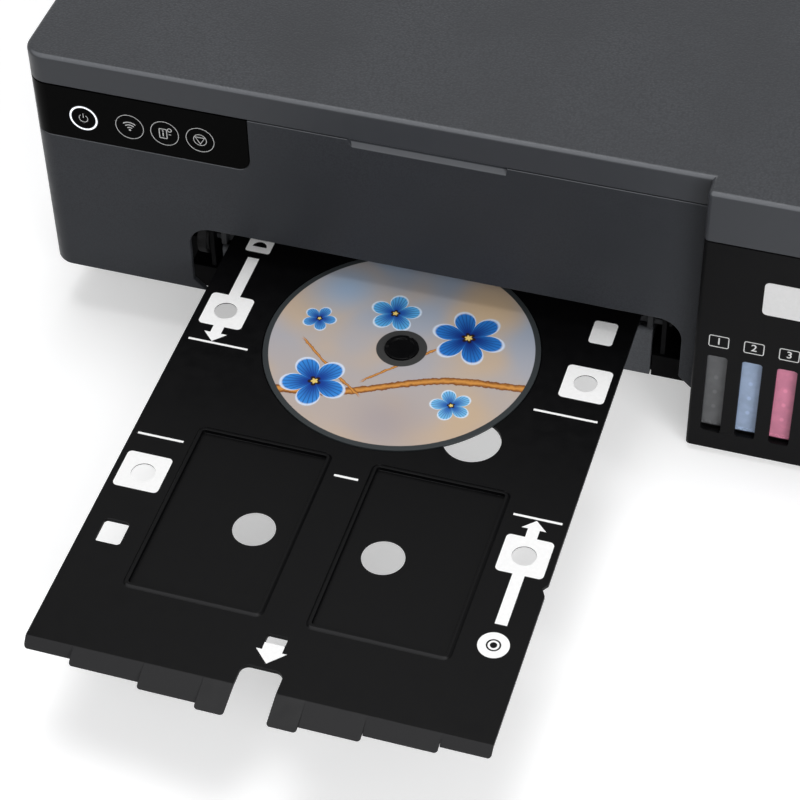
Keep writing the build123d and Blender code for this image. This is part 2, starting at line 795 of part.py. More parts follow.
def make_disc_tray_guides():
    rails = []
    outer = frame_plate_x - fit_gap
    wall_in = tray_half + 2 * tray_gap
    rib_in = output_panel_half - rail_rib_width
    for side in (-1, 1):
        def beam(x_in, x_out, y0, y1, z0, z1):
            near, far = side * x_in, side * x_out
            return block(min(near, far), max(near, far), y0, y1, z0, z1)
        rail = beam(rail_ledge_in, outer, rail_front, rail_back, track_top - rail_ledge_thickness,
                    track_top)
        rail += beam(wall_in, wall_in + rail_wall_thickness, rail_front, rail_back, track_top,
                     frame_low_top)
        rail += beam(rib_in, output_panel_half, output_front, rail_front + wall,
                     track_top - rail_ledge_thickness, rail_rib_top)
        rails.append(rail)
    return rails


# Output tray

def make_output_tray():
    top = output_plate_z + output_thickness
    tray = block(-output_half, output_half, output_front + wall / 2, output_back, output_plate_z, top)
    profile = [(output_front, output_panel_bottom), (output_front + output_thickness, output_panel_bottom),
               (output_front + output_thickness, output_panel_top), (output_front, output_panel_top)]
    tray += prism_x(profile, -output_panel_half, output_panel_half, {3: 1.8})
    tray -= block(-extension_half - fit_gap, extension_half + fit_gap, output_front - 1,
                  output_front + output_thickness + 1, top, top + extension_thickness + 2 * extension_gap)
    return tray


def make_output_tray_extension():
    low = output_plate_z + output_thickness + extension_gap
    return block(-extension_half, extension_half, output_front, extension_back, low,
                 low + extension_thickness)


# Inner frame and rollers

def make_side_frames():
    low = side_block_top + fit_gap
    front = base_front + wall + fit_gap
    profile = [(front, floor_top), (frame_back, floor_top), (frame_back, hopper_top_z - 1),
               (hopper_pivot_y - 14, hopper_top_z - 1), (pickup_y - 16, pickup_z + 13),
               (pickup_y - 16, frame_low_top + 6), (paper_guide_flat_end - 20, frame_low_top),
               (output_front + 1, frame_low_top), (output_front + 1, low), (front, low)]
    plates = []
    for side in (-1, 1):
        near, far = side * frame_plate_x, side * (frame_plate_x + frame_plate_thickness)
        x0, x1 = min(near, far), max(near, far)
        plate = prism_x(profile, x0, x1)
        plate -= rod_x(exit_roller_y, roller_z, exit_shaft_radius + shaft_clearance, x0 - 1, x1 + 1)
        plate -= rod_x(feed_roller_y, roller_z, roller_shaft_radius + shaft_clearance, x0 - 1, x1 + 1)
        plate -= rod_x(pickup_y, pickup_z, roller_shaft_radius + shaft_clearance, x0 - 1, x1 + 1)
        plate -= rod_x(hopper_pivot_y, hopper_pivot_z, hopper_pin_radius + shaft_clearance, x0 - 1, x1 + 1)
        plates.append(plate)
    return plates


def make_platen():
    front = exit_roller_y + roller_radius + roller_gap
    back = feed_roller_y - roller_radius - roller_gap
    half = rail_ledge_in - fit_gap
    platen = block(-half, half, front, back, track_top - 3.4, track_top)
    ribs = 12
    step = 2 * half / ribs
    for number in range(ribs):
        x = -half + (number + 0.5) * step
        platen -= block(x - step * 0.36, x + step * 0.36, front + 6, back - 6, track_top - 1.6,
                        track_top + 1)
    return platen


def make_roller(y, shaft_radius, tyre_half):
    end = frame_plate_x + frame_plate_thickness
    pulley_end = end + roller_gap + belt_pulley_width
    roller = rod_x(y, roller_z, shaft_radius, -pulley_end, end + roller_gap)
    roller += rod_x(y, roller_z, roller_radius, -tyre_half, tyre_half)
    roller += rod_x(y, roller_z, belt_pulley_radius, -pulley_end, -end - roller_gap)
    return roller


def make_feed_belt():
    end = frame_plate_x + frame_plate_thickness
    left = -(end + roller_gap + (belt_pulley_width + belt_width) / 2)
    return loop_belt(left, exit_roller_y, feed_roller_y, roller_z, belt_pulley_radius + fit_gap,
                     belt_thickness, belt_width, "y")


def make_feed_motor():
    end = frame_plate_x + frame_plate_thickness + roller_gap + belt_pulley_width + feed_motor_gap
    motor = rod_x(feed_roller_y, roller_z, feed_motor_radius, -end - feed_motor_length, -end)
    foot_half = feed_motor_radius * 0.6
    motor += block(-end - feed_motor_length + 3, -end - 3, feed_roller_y - foot_half,
                   feed_roller_y + foot_half,
                   floor_top, roller_z)
    return motor


def make_paper_guide():
    half = frame_plate_x - fit_gap
    start = feed_roller_y + roller_radius + roller_gap
    low = track_top - paper_guide_thickness
    profile = [(start, low), (paper_guide_flat_end, low), (paper_guide_end, low + paper_guide_rise),
               (paper_guide_end - 1.5, track_top + paper_guide_rise), (paper_guide_flat_end - 1, track_top),
               (start, track_top)]
    return prism_x(profile, -half, half)


def make_hopper():
    plate = lean_slab(hopper_start, hopper_end, -hopper_thickness, 0, -hopper_half, hopper_half)
    plate += rod_x(hopper_pivot_y, hopper_pivot_z, hopper_pivot_radius, -hopper_half, hopper_half)
    reach = frame_plate_x + frame_plate_thickness
    plate += rod_x(hopper_pivot_y, hopper_pivot_z, hopper_pin_radius, -reach, reach)
    return plate


def make_edge_guide(side):
    outer = hopper_half - fit_gap
    seat = hopper_pivot_radius - hopper_thickness / 2 + fit_gap
    foot_x = (side * (outer - guide_base_width), side * outer)
    fence_x = (side * (outer - guide_thickness), side * outer)
    guide = lean_slab(guide_start, guide_end, fit_gap, fit_gap + guide_thickness, min(foot_x), max(foot_x))
    guide += lean_slab(guide_start, guide_end, fit_gap, guide_fence + seat, min(fence_x), max(fence_x))
    return guide


def make_pickup_roller():
    reach = frame_plate_x + frame_plate_thickness + roller_gap
    roller = rod_x(pickup_y, pickup_z, roller_shaft_radius, -reach, reach)
    return roller + rod_x(pickup_y, pickup_z, pickup_radius, -pickup_half, pickup_half)


def make_paper_support():
    top = -(overall_height - hopper_top_z) / lean_cos - support_setback * lean_sin / lean_cos
    low = -support_setback - support_thickness / 2
    high = -support_setback + support_thickness / 2
    start = top + 1
    return lean_slab(start, start + support_length, low, high, -support_half, support_half)


# Carriage drive

def make_steel_frame():
    sheet_back = frame_sheet_y + frame_sheet
    frame = block(inner_left, inner_right, frame_sheet_y, sheet_back, frame_sheet_bottom, frame_sheet_top)
    frame += block(inner_left, inner_right, frame_sheet_y - 8, sheet_back,
                   frame_sheet_top - frame_sheet, frame_sheet_top)
    low = guide_rod_z - 2 * guide_rod_radius
    for x0, x1 in ((inner_left, inner_left + frame_sheet), (inner_right - frame_sheet, inner_right)):
        frame += block(x0, x1, frame_flange_front, sheet_back, low, frame_flange_top)
        frame -= rod_x(guide_rod_y, guide_rod_z, guide_rod_radius + shaft_clearance, x0 - 1, x1 + 1)
    frame -= rod_y(drive_x, drive_z, 2 * drive_axle_radius, frame_sheet_y - 1, sheet_back + 1)
    frame += rod_y(idler_x, drive_z, drive_axle_radius, drive_belt_front - 1.5, frame_sheet_y)
    return frame


def make_guide_rod():
    return rod_x(guide_rod_y, guide_rod_z, guide_rod_radius, inner_left, inner_right)


def make_carriage():
    right = carriage_left + carriage_width
    body = block(carriage_left, right, carriage_front, carriage_back, carriage_bottom, carriage_top)
    front_top = [edge for edge in body.edges().filter_by(Axis.X)
                 if edge.center().Y < carriage_front + 1 and edge.center().Z > carriage_top - 1]
    body = fillet(front_top, 4 * wall)
    inside_back = guide_rod_y - guide_rod_radius - 2 * carriage_wall
    body -= block(carriage_left + carriage_wall, right - carriage_wall, carriage_front + carriage_wall,
                  inside_back,
                  carriage_bottom + carriage_wall, carriage_top - 3 * wall)
    body -= rod_x(guide_rod_y, guide_rod_z, guide_rod_radius + shaft_clearance, carriage_left - 1,
                  right + 1)
    clamp_right = clamp_left + clamp_width
    run_low = drive_z - drive_pulley_radius - fit_gap - belt_thickness
    run_high = drive_z - drive_pulley_radius - fit_gap
    arm_back = drive_belt_front + drive_belt_width
    body += block(clamp_left, clamp_right, carriage_back - 1, arm_back,
                  run_low - fit_gap - clamp_thickness, run_low - fit_gap)
    body += block(clamp_left, clamp_right, carriage_back - 1, arm_back,
                  run_high + fit_gap, run_high + fit_gap + clamp_thickness)
    return body


def make_print_head():
    left = carriage_left + head_inset
    low = block(left, left + head_width, carriage_front + 2 * head_inset,
                carriage_back - 2 * head_inset, head_bottom, carriage_bottom)
    bottom = [edge for edge in low.edges() if edge.center().Z < head_bottom + 0.01]
    return chamfer(bottom, 1.0)


def make_timing_belt():
    return loop_belt(drive_belt_front, drive_x, idler_x, drive_z, drive_pulley_radius + fit_gap,
                     belt_thickness, drive_belt_width, "x")


def make_belt_pulley(x):
    front = drive_belt_front - 1.0
    back = drive_belt_front + drive_belt_width + 1.0
    pulley = rod_y(x, drive_z, drive_pulley_radius, front, back)
    for y in (front, back - 0.7):
        pulley += rod_y(x, drive_z, drive_pulley_radius + 2 * belt_thickness, y, y + 0.7)
    return pulley - rod_y(x, drive_z, drive_axle_radius + shaft_clearance, front - 1, back + 1)


def make_carriage_motor():
    face = frame_sheet_y + frame_sheet
    motor = rod_y(drive_x, drive_z, motor_radius, face, face + motor_length)
    motor += rod_y(drive_x, drive_z, drive_axle_radius, drive_belt_front - 1.5, face)
    return motor


# Parts in the base

def make_capping_station():
    left = carriage_left + head_inset - capping_margin
    right = left + head_width + 2 * capping_margin
    rim = 2 * capping_margin
    station = block(left, right, capping_front, capping_back, floor_top, capping_top)
    station -= block(left + rim, right - rim, capping_front + rim, capping_back - rim,
                     capping_top - 3, capping_top + 1)
    return station


def make_power_supply():
    left = body_left + supply_inset
    case = block(left, left + supply_width, supply_front, supply_front + supply_length,
                 floor_top, floor_top + supply_height)
    uprights = case.edges().filter_by(Axis.Z)
    return fillet(uprights, small_corner_radius)


def make_mainboard():
    low = floor_top + standoff_height
    top = low + board_thickness
    board = block(-board_half, board_half, board_front, board_back, low, top)
    for x in (-board_half + board_hole_inset, board_half - board_hole_inset):
        for y in (board_front + board_hole_inset, board_back - board_hole_inset):
            board += rod_z(x, y, standoff_radius, floor_top, low)
    board += block(-30, -6, board_front + 30, board_front + 54, top, top + 2)
    board += block(10, 34, board_front + 34, board_front + 46, top, top + 1.4)
    back = board_back - connector_setback
    for x in (-board_half + connector_inset, board_half - connector_inset - connector_width):
        board += block(x, x + connector_width, back - connector_length, back, top, top + connector_height)
    for number in range(4):
        board += rod_z(-70 + 12 * number, board_front + 20, 4, top, top + 9)
    return board


def make_maintenance_box():
    back = body_back - fit_gap
    box = block(waste_left, waste_left + waste_width, back - waste_length, back,
                waste_bottom, waste_bottom + waste_height)
    box -= block(waste_left + wall, waste_left + waste_width - wall, back - waste_length + wall,
                 back - 3 * wall,
                 waste_bottom + waste_height - 3, waste_bottom + waste_height + 1)
    grip_half = waste_width / 5
    middle = waste_left + waste_width / 2
    box -= block(middle - grip_half, middle + grip_half, back - wall, back + 1,
                 waste_bottom + 6, waste_bottom + waste_height - 5)
    return box


def make_power_inlet():
    front = body_back - inlet_length
    inlet = block(inlet_x - inlet_width / 2, inlet_x + inlet_width / 2, front, body_back,
                  inlet_z - inlet_height / 2, inlet_z + inlet_height / 2)
    inlet -= rounded_opening_y(inlet_x, inlet_z, inlet_recess_width, inlet_recess_height,
                               inlet_recess_height / 2 - 0.5, body_back - inlet_recess_depth, body_back + 1)
    for side in (-1, 1):
        inlet += rod_y(inlet_x + side * inlet_pin_spacing / 2, inlet_z, inlet_pin_radius,
                       body_back - inlet_recess_depth - 1, body_back - 3)
    return inlet


def make_usb_port():
    front = body_back - usb_length
    port = block(usb_x - usb_width / 2, usb_x + usb_width / 2, front, body_back,
                 usb_z - usb_height / 2, usb_z + usb_height / 2)
    port -= block(usb_x - usb_width / 2 + usb_shell, usb_x + usb_width / 2 - usb_shell,
                  front + 4, body_back + 1, usb_z - usb_height / 2 + usb_shell,
                  usb_z + usb_height / 2 - usb_shell)
    port += block(usb_x - usb_tongue_width / 2, usb_x + usb_tongue_width / 2, front + 3, body_back - 2,
                  usb_z - usb_tongue_height / 2, usb_z + usb_tongue_height / 2)
    return port


def make_rubber_feet():
    left = body_left + foot_inset
    right = body_right - foot_inset
    front = base_front + front_foot_inset
    back = body_back - foot_inset
    places = [(left, front), (main_right - foot_inset, front), (left, back), (right, back),
              (right, tank_front + foot_inset)]
    return [rod_z(x, y, foot_radius, 0, foot_height) for x, y in places]


def make_housing_screws():
    screws = []
    for x in screw_centres:
        screw = rod_y(x, screw_z, screw_radius, body_back - screw_length, body_back)
        head = rod_y(x, screw_z, screw_head_radius, body_back, body_back + screw_head_height)
        slot = block(x - screw_head_radius, x + screw_head_radius, body_back + screw_head_height - 0.7,
                     body_back + screw_head_height + 1, screw_z - 0.4, screw_z + 0.4)
        screws.append(screw + (head - slot))
    return screws


# Ink tanks

def make_ink_tank(x):
    front = tank_front + wall + fit_gap
    half = ink_tank_width / 2
    low = floor_top + fit_gap
    tank = block(x - half, x + half, front, ink_tank_back, low, ink_tank_top)
    tank = fillet(tank.edges().filter_by(Axis.Z), 1.2)
    tank += rod_z(x, neck_y, neck_radius, ink_tank_top, neck_top)
    tank -= block(x - half + ink_tank_wall, x + half - ink_tank_wall, front + ink_tank_wall,
                  ink_tank_back - ink_tank_wall, low + ink_tank_wall, ink_tank_top - ink_tank_wall)
    return tank - rod_z(x, neck_y, neck_bore, ink_tank_top - ink_tank_wall - 1, neck_top + 1)


def make_ink_cap(x):
    low = neck_top + neck_gap
    half = cap_width / 2
    cap = block(x - half, x + half, cap_front, cap_hinge_y, low, low + cap_thickness)
    corners = [edge for edge in cap.edges().filter_by(Axis.Z) if edge.center().Y < cap_hinge_y - 1]
    cap = fillet(corners, 3.0)
    cap += rod_x(cap_hinge_y, cap_hinge_z, cap_hinge_radius, x - half, x + half)
    cap += rod_x(cap_hinge_y, cap_hinge_z, cap_pin_radius, x - half - cap_pin_reach,
                 x + half + cap_pin_reach)
    return cap


# Every piece by its node name

pieces["lower_housing"] = make_lower_housing()
pieces["main_housing"] = make_main_housing()
pieces["tank_housing"] = make_tank_housing()
pieces["top_cover"] = make_top_cover()
pieces["rear_housing"] = make_rear_housing()
pieces["rear_feed_cover"] = make_rear_feed_cover()
pieces["cover_hinge_pins"] = make_cover_hinge_pins()
pieces["control_panel"] = make_control_panel()
for name, x in button_centres.items():
    pieces[name] = make_button(x, power_button_radius if name == "power_button" else button_radius)
pieces["power_light_ring"] = make_power_light_ring()
pieces["disc_tray"] = make_disc_tray()
pieces["disc_hub"] = make_disc_hub()
pieces["disc"] = make_disc()
pieces["disc_tray_guides"] = make_disc_tray_guides()
pieces["output_tray"] = make_output_tray()
pieces["output_tray_extension"] = make_output_tray_extension()
pieces["side_frames"] = make_side_frames()
pieces["platen"] = make_platen()
pieces["exit_roller"] = make_roller(exit_roller_y, exit_shaft_radius, rail_ledge_in - roller_gap)
pieces["feed_roller"] = make_roller(feed_roller_y, roller_shaft_radius, frame_plate_x - roller_gap)
pieces["feed_belt"] = make_feed_belt()
pieces["feed_motor"] = make_feed_motor()
pieces["paper_guide"] = make_paper_guide()
pieces["hopper"] = make_hopper()
pieces["edge_guide_left"] = make_edge_guide(-1)
pieces["edge_guide_right"] = make_edge_guide(1)
pieces["pickup_roller"] = make_pickup_roller()
pieces["paper_support"] = make_paper_support()
pieces["steel_frame"] = make_steel_frame()
pieces["guide_rod"] = make_guide_rod()
pieces["carriage"] = make_carriage()
pieces["print_head"] = make_print_head()
pieces["timing_belt"] = make_timing_belt()
pieces["drive_pulley"] = make_belt_pulley(drive_x)
pieces["idler_pulley"] = make_belt_pulley(idler_x)
pieces["carriage_motor"] = make_carriage_motor()
pieces["capping_station"] = make_capping_station()
pieces["power_supply"] = make_power_supply()
pieces["mainboard"] = make_mainboard()
pieces["maintenance_box"] = make_maintenance_box()
pieces["power_inlet"] = make_power_inlet()
pieces["usb_port"] = make_usb_port()
pieces["rubber_feet"] = make_rubber_feet()
pieces["housing_screws"] = make_housing_screws()
for number in range(tank_count):
    tank_x = first_tank_x + number * tank_pitch
    pieces[f"ink_tank_{number + 1}"] = make_ink_tank(tank_x)
    pieces[f"ink_cap_{number + 1}"] = make_ink_cap(tank_x)

# The origin is under the middle of the whole printer, tray out, on the table
front_end = tray_front - max(lip_reaches)
back_end = body_back + screw_head_height
to_origin = Pos(-(body_left + body_right) / 2, -(front_end + back_end) / 2, 0)

os.makedirs("parts", exist_ok=True)
for node, piece in pieces.items():
    solids = piece if isinstance(piece, list) else [piece]
    moved = [to_origin * solid for solid in solids]
    shape = moved[0] if len(moved) == 1 else Compound(children=[Compound(item.solids()) for item in moved])
    export_step(shape, f"parts/{node}.step")
    print(node, "volume", round(sum(item.volume for item in moved)), "mm3")
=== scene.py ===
# Looks of a desktop inkjet photo printer with six ink tanks and its disc tray pulled out.
# Places are given in millimetres in the drawing's own frame: x = 0 is the disc tray's centreline,
# y = 0 the disc's centre and z = 0 the table. at() turns them into the model's frame, in metres.
import json
import math

import bpy
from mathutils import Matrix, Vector


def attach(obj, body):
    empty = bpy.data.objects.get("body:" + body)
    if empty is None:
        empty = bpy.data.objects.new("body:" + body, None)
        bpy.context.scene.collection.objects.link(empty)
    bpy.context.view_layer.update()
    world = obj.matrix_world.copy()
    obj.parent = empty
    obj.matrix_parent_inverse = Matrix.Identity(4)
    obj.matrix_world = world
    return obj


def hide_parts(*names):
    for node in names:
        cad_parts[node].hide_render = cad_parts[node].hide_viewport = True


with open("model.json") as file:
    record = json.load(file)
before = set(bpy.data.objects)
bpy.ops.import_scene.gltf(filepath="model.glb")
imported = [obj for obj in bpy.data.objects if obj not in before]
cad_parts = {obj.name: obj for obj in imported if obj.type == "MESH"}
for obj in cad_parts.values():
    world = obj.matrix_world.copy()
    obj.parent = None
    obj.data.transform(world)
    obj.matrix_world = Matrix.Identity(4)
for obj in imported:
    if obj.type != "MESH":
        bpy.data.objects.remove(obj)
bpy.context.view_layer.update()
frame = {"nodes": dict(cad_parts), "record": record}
nodes = frame["nodes"]
bodies = frame["record"]["behaviour"]["bodies"]
body_of_node = {node: body for body, members in bodies.items() for node in members}

MM = 0.001
SHIFT_X = -21.5
SHIFT_Y = -96.1

# Camera and studio, in metres, degrees and watts

CAMERA_PLACE = (0.214399, -0.817034, 0.80263)
CAMERA_TURN = (44.1007, 1.0933, 17.0916)
CAMERA_LENS = 111.38
CAMERA_SENSOR = 36
LAMPS = (
    ("overhead", (-0.22, 0.15, 1.9), (0.0, 0.0, 0.05), (1.0, 0.9), 18),
    ("front_softbox", (0.75, -1.4, 1.25), (0.05, -0.05, 0.08), (0.9, 0.6), 8),
    ("right_fill", (1.15, -1.0, 0.6), (0.1, -0.1, 0.08), (0.6, 0.6), 9),
)
ROOM_LIGHT = 0.3
FLOOR_SIZE = 14
FLOOR_SHADE = (0.76, 0.76, 0.765, 1)
FLOOR_GLOW = 0.44

# Places on the printer

TRAY_TOP = 51.8
TRAY_FRONT = -190.9
LID_TOP = 149.1
FRONT = 34.5
TANK_FRONT = 25.0
BUTTONS = {"power_button": -154.0, "wireless_button": -132.5, "info_button": -116.3, "stop_button": -100.0}
BUTTON_HEIGHT = 118.0
BUTTON_RING_RADIUS = 6.4
BUTTON_RING_WIDTH = 0.27
LIGHT_RING_RADIUS = 6.1
FIRST_TANK_X = 132.5
TANK_PITCH = 15.0
TANK_COUNT = 6
TANK_NUMBER_HEIGHT = 68.4
BADGE_PLACE = (172.5, 98.0)
HUB_EDGE = 11.0
DISC_RIM = 57.5

# Prints: how thick they are, how thick the shapes that cut them are, and how far they are sunk into the
# face under them

PRINT_DEPTH = 0.08
CUTTER_DEPTH = PRINT_DEPTH * 4
SHAFT_DEPTH = 0.06
ARROW_DEPTH = 0.1
PRINT_SINK = 0.02

# Marks on the tray. A pad has its middle and the row of its hole; a line its ends and its row; a shaft
# its sides and ends; an arrow head its middle, its base, its tip and its width.

PAD_HALF = 9.9
PAD_CORNER = 2.0
SENSOR_HOLE_RADIUS = 5.05
SENSOR_HOLE_X = 81.2
LINE_HALF = 0.55
PADS = ((-80.8, 1.4, 1.4), (81.4, 1.1, 1.4), (-81.5, -98.1, -98.5), (81.5, -98.6, -98.5))
LINES = ((-91.0, -63.8, -18.9), (64.0, 91.5, -19.3), (-91.5, -71.2, -77.8), (71.2, 91.6, -78.1),
         (-5.1, 5.2, -78.0))
SHAFTS = ((-83.4, -78.1, 11.0, 37.0), (-83.2, -78.3, -13.6, -8.3), (78.9, 83.8, -89.0, -83.6),
          (79.1, 84.1, -134.8, -108.2), (-3.6, 4.6, -172.6, -168.5))
ARROWS = ((-80.7, -12.8, -18.0, 10.4), (81.3, -84.0, -79.2, 10.2), (0.3, -172.0, -178.3, 12.6))
SLOT_ICON = (-86.4, -74.9, 41.0, 50.5)
SLOT_ICON_DOME = (-80.7, 44.6, 3.3)
BACK_PAD = (75.9, 86.4, 26.1, 40.2)
TARGET = (81.6, -145.3)
TARGET_RINGS = ((4.67, 3.34), (1.87, 0.86))

# Edges that turn by more than the first angle are rounded, and those that turn by less than the second
# are shaded smooth, in degrees.

BEVEL_ANGLE = 32.0
SMOOTH_ANGLE = 40.0
BEVEL_ANGLES = {"disc_tray": 11.0, "top_cover": 45.0}
SMOOTH_ANGLES = {"disc_tray": 28.0}

# The disc's picture. A soft spot has its middle, its reach and its shade; a twig its height at the middle,
# its slope, the size and rate of its bends, half its width, its start and its end; a blossom its middle,
# its size, its turn, its petals and the shades inside and outside.

SKY_SPOTS = ((-34, 30, 26, (150, 182, 216)), (30, 34, 24, (214, 186, 150)), (6, -44, 26, (168, 158, 160)))
TWIGS = ((-24, 0.30, 3.0, 70.0, 2.3, -62, 62), (-12, 0.95, 1.5, 90.0, 1.1, -12, 33),
         (-38, -0.75, 1.5, 80.0, 1.0, -44, -8))
BLOSSOMS = (
    (-30, -29, 15.5, 0.3, 5, (22, 60, 150), (58, 140, 222)),
    (-9, 20, 12.0, 0.9, 5, (30, 80, 170), (92, 176, 232)),
    (26, 14, 17.0, 0.1, 6, (18, 48, 128), (44, 122, 206)),
    (30, -27, 9.5, 0.5, 5, (40, 96, 180), (120, 190, 236)),
    (-40, 8, 8.0, 1.2, 5, (30, 70, 160), (84, 160, 226)),
)

# Inks behind the windows and the caps of their tanks, in screen values

INKS = ((95, 96, 98), (158, 177, 206), (218, 134, 162), (20, 140, 200), (196, 26, 96), (236, 200, 40))
CAPS = ((42, 42, 44), (110, 160, 210), (214, 110, 150), (10, 120, 190), (180, 20, 90), (230, 190, 30))


def at(x, y, z):
    return Vector(((x + SHIFT_X) * MM, (y + SHIFT_Y) * MM, z * MM))


# Camera, studio light and floor

def add_camera():
    turn = [math.radians(angle) for angle in CAMERA_TURN]
    bpy.ops.object.camera_add(location=CAMERA_PLACE, rotation=turn)
    camera = bpy.context.object
    camera.data.lens = CAMERA_LENS
    camera.data.sensor_width = CAMERA_SENSOR
    camera.data.clip_end = 20
    bpy.context.scene.camera = camera


def add_lamp(name, place, aim, size, watts):
    bpy.ops.object.light_add(type="AREA", location=place)
    lamp = bpy.context.object
    lamp.name = name
    lamp.data.shape = "RECTANGLE"
    lamp.data.size, lamp.data.size_y = size
    lamp.data.energy = watts
    lamp.rotation_euler = (Vector(aim) - Vector(place)).to_track_quat("-Z", "Y").to_euler()


def seen_directly(tree):
    """1 for rays that show the background: from the camera, or by way of gloss or glass."""
    path = tree.nodes.new("ShaderNodeLightPath")
    total = path.outputs["Is Camera Ray"]
    for name in ("Is Glossy Ray", "Is Transmission Ray"):
        most = tree.nodes.new("ShaderNodeMath")
        most.operation = "MAXIMUM"
        tree.links.new(total, most.inputs[0])
        tree.links.new(path.outputs[name], most.inputs[1])
        total = most.outputs[0]
    return total


def add_world():
    world = bpy.data.worlds.new("studio")
    bpy.context.scene.world = world
    world.use_nodes = True
    tree = world.node_tree
    background = tree.nodes["Background"]
    background.inputs["Color"].default_value = (1, 1, 1, 1)
    strength = tree.nodes.new("ShaderNodeMapRange")
    strength.inputs["To Min"].default_value = ROOM_LIGHT
    strength.inputs["To Max"].default_value = 1.0
    tree.links.new(seen_directly(tree), strength.inputs["Value"])
    tree.links.new(strength.outputs[0], background.inputs["Strength"])


def add_floor():
    deselect()
    bpy.ops.mesh.primitive_plane_add(size=FLOOR_SIZE, location=(0, 0, 0))
    floor = bpy.context.object
    floor.name = "floor"
    material = bpy.data.materials.new("pale_floor")
    material.use_nodes = True
    tree = material.node_tree
    shader = tree.nodes["Principled BSDF"]
    shader.inputs["Base Color"].default_value = FLOOR_SHADE
    shader.inputs["Roughness"].default_value = 0.9
    shader.inputs["Specular IOR Level"].default_value = 0.1
    shader.inputs["Emission Color"].default_value = (1, 1, 1, 1)
    glow = tree.nodes.new("ShaderNodeMath")
    glow.operation = "MULTIPLY"
    glow.inputs[1].default_value = FLOOR_GLOW
    tree.links.new(seen_directly(tree), glow.inputs[0])
    tree.links.new(glow.outputs[0], shader.inputs["Emission Strength"])
    floor.data.materials.append(material)


# Modelling steps that many pieces share

def deselect():
    if bpy.context.object and bpy.context.object.mode != "OBJECT":
        bpy.ops.object.mode_set(mode="OBJECT")
    bpy.ops.object.select_all(action="DESELECT")


def pick(piece):
    deselect()
    piece.select_set(True)
    bpy.context.view_layer.objects.active = piece


def settle(piece):
    """Puts the piece's place, turn and size into its mesh."""
    pick(piece)
    bpy.ops.object.transform_apply(location=True, rotation=True, scale=True)
    return piece


def edit_all(piece, *steps):
    """Takes the steps in edit mode, with all of the piece selected at the first."""
    pick(piece)
    bpy.ops.object.mode_set(mode="EDIT")
    select_all()
    for step in steps:
        step()
    bpy.ops.object.mode_set(mode="OBJECT")


def select_all():
    bpy.ops.mesh.select_all(action="SELECT")


def face_outwards():
    select_all()
    bpy.ops.mesh.normals_make_consistent(inside=False)


def finish_modifier(piece, kind, **settings):
    pick(piece)
    modifier = piece.modifiers.new("step", kind)
    for key, value in settings.items():
        setattr(modifier, key, value)
    bpy.ops.object.modifier_apply(modifier=modifier.name)


def join(name, parts):
    deselect()
    for part in parts:
        part.select_set(True)
    bpy.context.view_layer.objects.active = parts[0]
    bpy.ops.object.join()
    piece = bpy.context.object
    piece.name = name
    piece.data.name = name
    return piece


def copies(piece, count):
    """The piece and its copies, each with its own mesh, as many as the count in all."""
    alike = [piece]
    for _ in range(count - 1):
        twin = piece.copy()
        twin.data = piece.data.copy()
        bpy.context.scene.collection.objects.link(twin)
        alike.append(twin)
    return alike


def cut(piece, cutter):
    finish_modifier(piece, "BOOLEAN", operation="DIFFERENCE", solver="EXACT", object=cutter)
    bpy.data.objects.remove(cutter, do_unlink=True)
    return piece


def cut_through(piece, cutter):
    """Cuts a flat piece with a thicker one, which is lowered to reach out below it."""
    cutter.location = (0, 0, -PRINT_DEPTH * MM)
    return cut(piece, settle(cutter))


# Flat shapes, drawn lying down with their underside at z = 0

def thicken(piece, depth):
    edit_all(piece,
             lambda: bpy.ops.mesh.extrude_region_move(TRANSFORM_OT_translate={"value": (0, 0, depth * MM)}),
             face_outwards)
    return piece


def flat_panel(x0, x1, y0, y1, radius=0.0, depth=PRINT_DEPTH):
    """A plate with rounded corners."""
    deselect()
    bpy.ops.mesh.primitive_plane_add(size=1, location=((x0 + x1) / 2 * MM, (y0 + y1) / 2 * MM, 0))
    piece = bpy.context.object
    piece.scale = (abs(x1 - x0) * MM, abs(y1 - y0) * MM, 1)
    settle(piece)
    if radius:
        edit_all(piece, lambda: bpy.ops.mesh.bevel(offset=radius * MM, segments=6, affect="VERTICES"))
    return thicken(piece, depth)


def flat_disc(x, y, radius, depth=PRINT_DEPTH):
    deselect()
    bpy.ops.mesh.primitive_circle_add(vertices=40, radius=radius * MM, fill_type="NGON",
                                      location=(x * MM, y * MM, 0))
    piece = settle(bpy.context.object)
    return thicken(piece, depth)


def flat_triangle(x, y_base, y_tip, width, depth=PRINT_DEPTH):
    """A triangle that points along y, made from a circle of three sides."""
    deselect()
    bpy.ops.mesh.primitive_circle_add(vertices=3, radius=1, fill_type="NGON")
    piece = bpy.context.object
    height = abs(y_tip - y_base)
    piece.scale = (width / math.sqrt(3) * MM, height / 1.5 * MM, 1)
    if y_tip < y_base:
        piece.rotation_euler = (0, 0, math.pi)
    piece.location = (x * MM, (y_base + (y_tip - y_base) / 3) * MM, 0)
    settle(piece)
    return thicken(piece, depth)


def flat_ring(x, y, radius, width):
    """A whole flat ring, its outer edge at radius plus half the width."""
    outer = radius + width / 2
    inner_share = (radius - width / 2) / outer
    deselect()
    bpy.ops.mesh.primitive_circle_add(vertices=56, radius=outer * MM, fill_type="NOTHING")
    piece = bpy.context.object
    edit_all(piece, bpy.ops.mesh.extrude_region_move,
             lambda: bpy.ops.transform.resize(value=(inner_share, inner_share, 1)))
    piece.location = (x * MM, y * MM, 0)
    return thicken(settle(piece), PRINT_DEPTH)


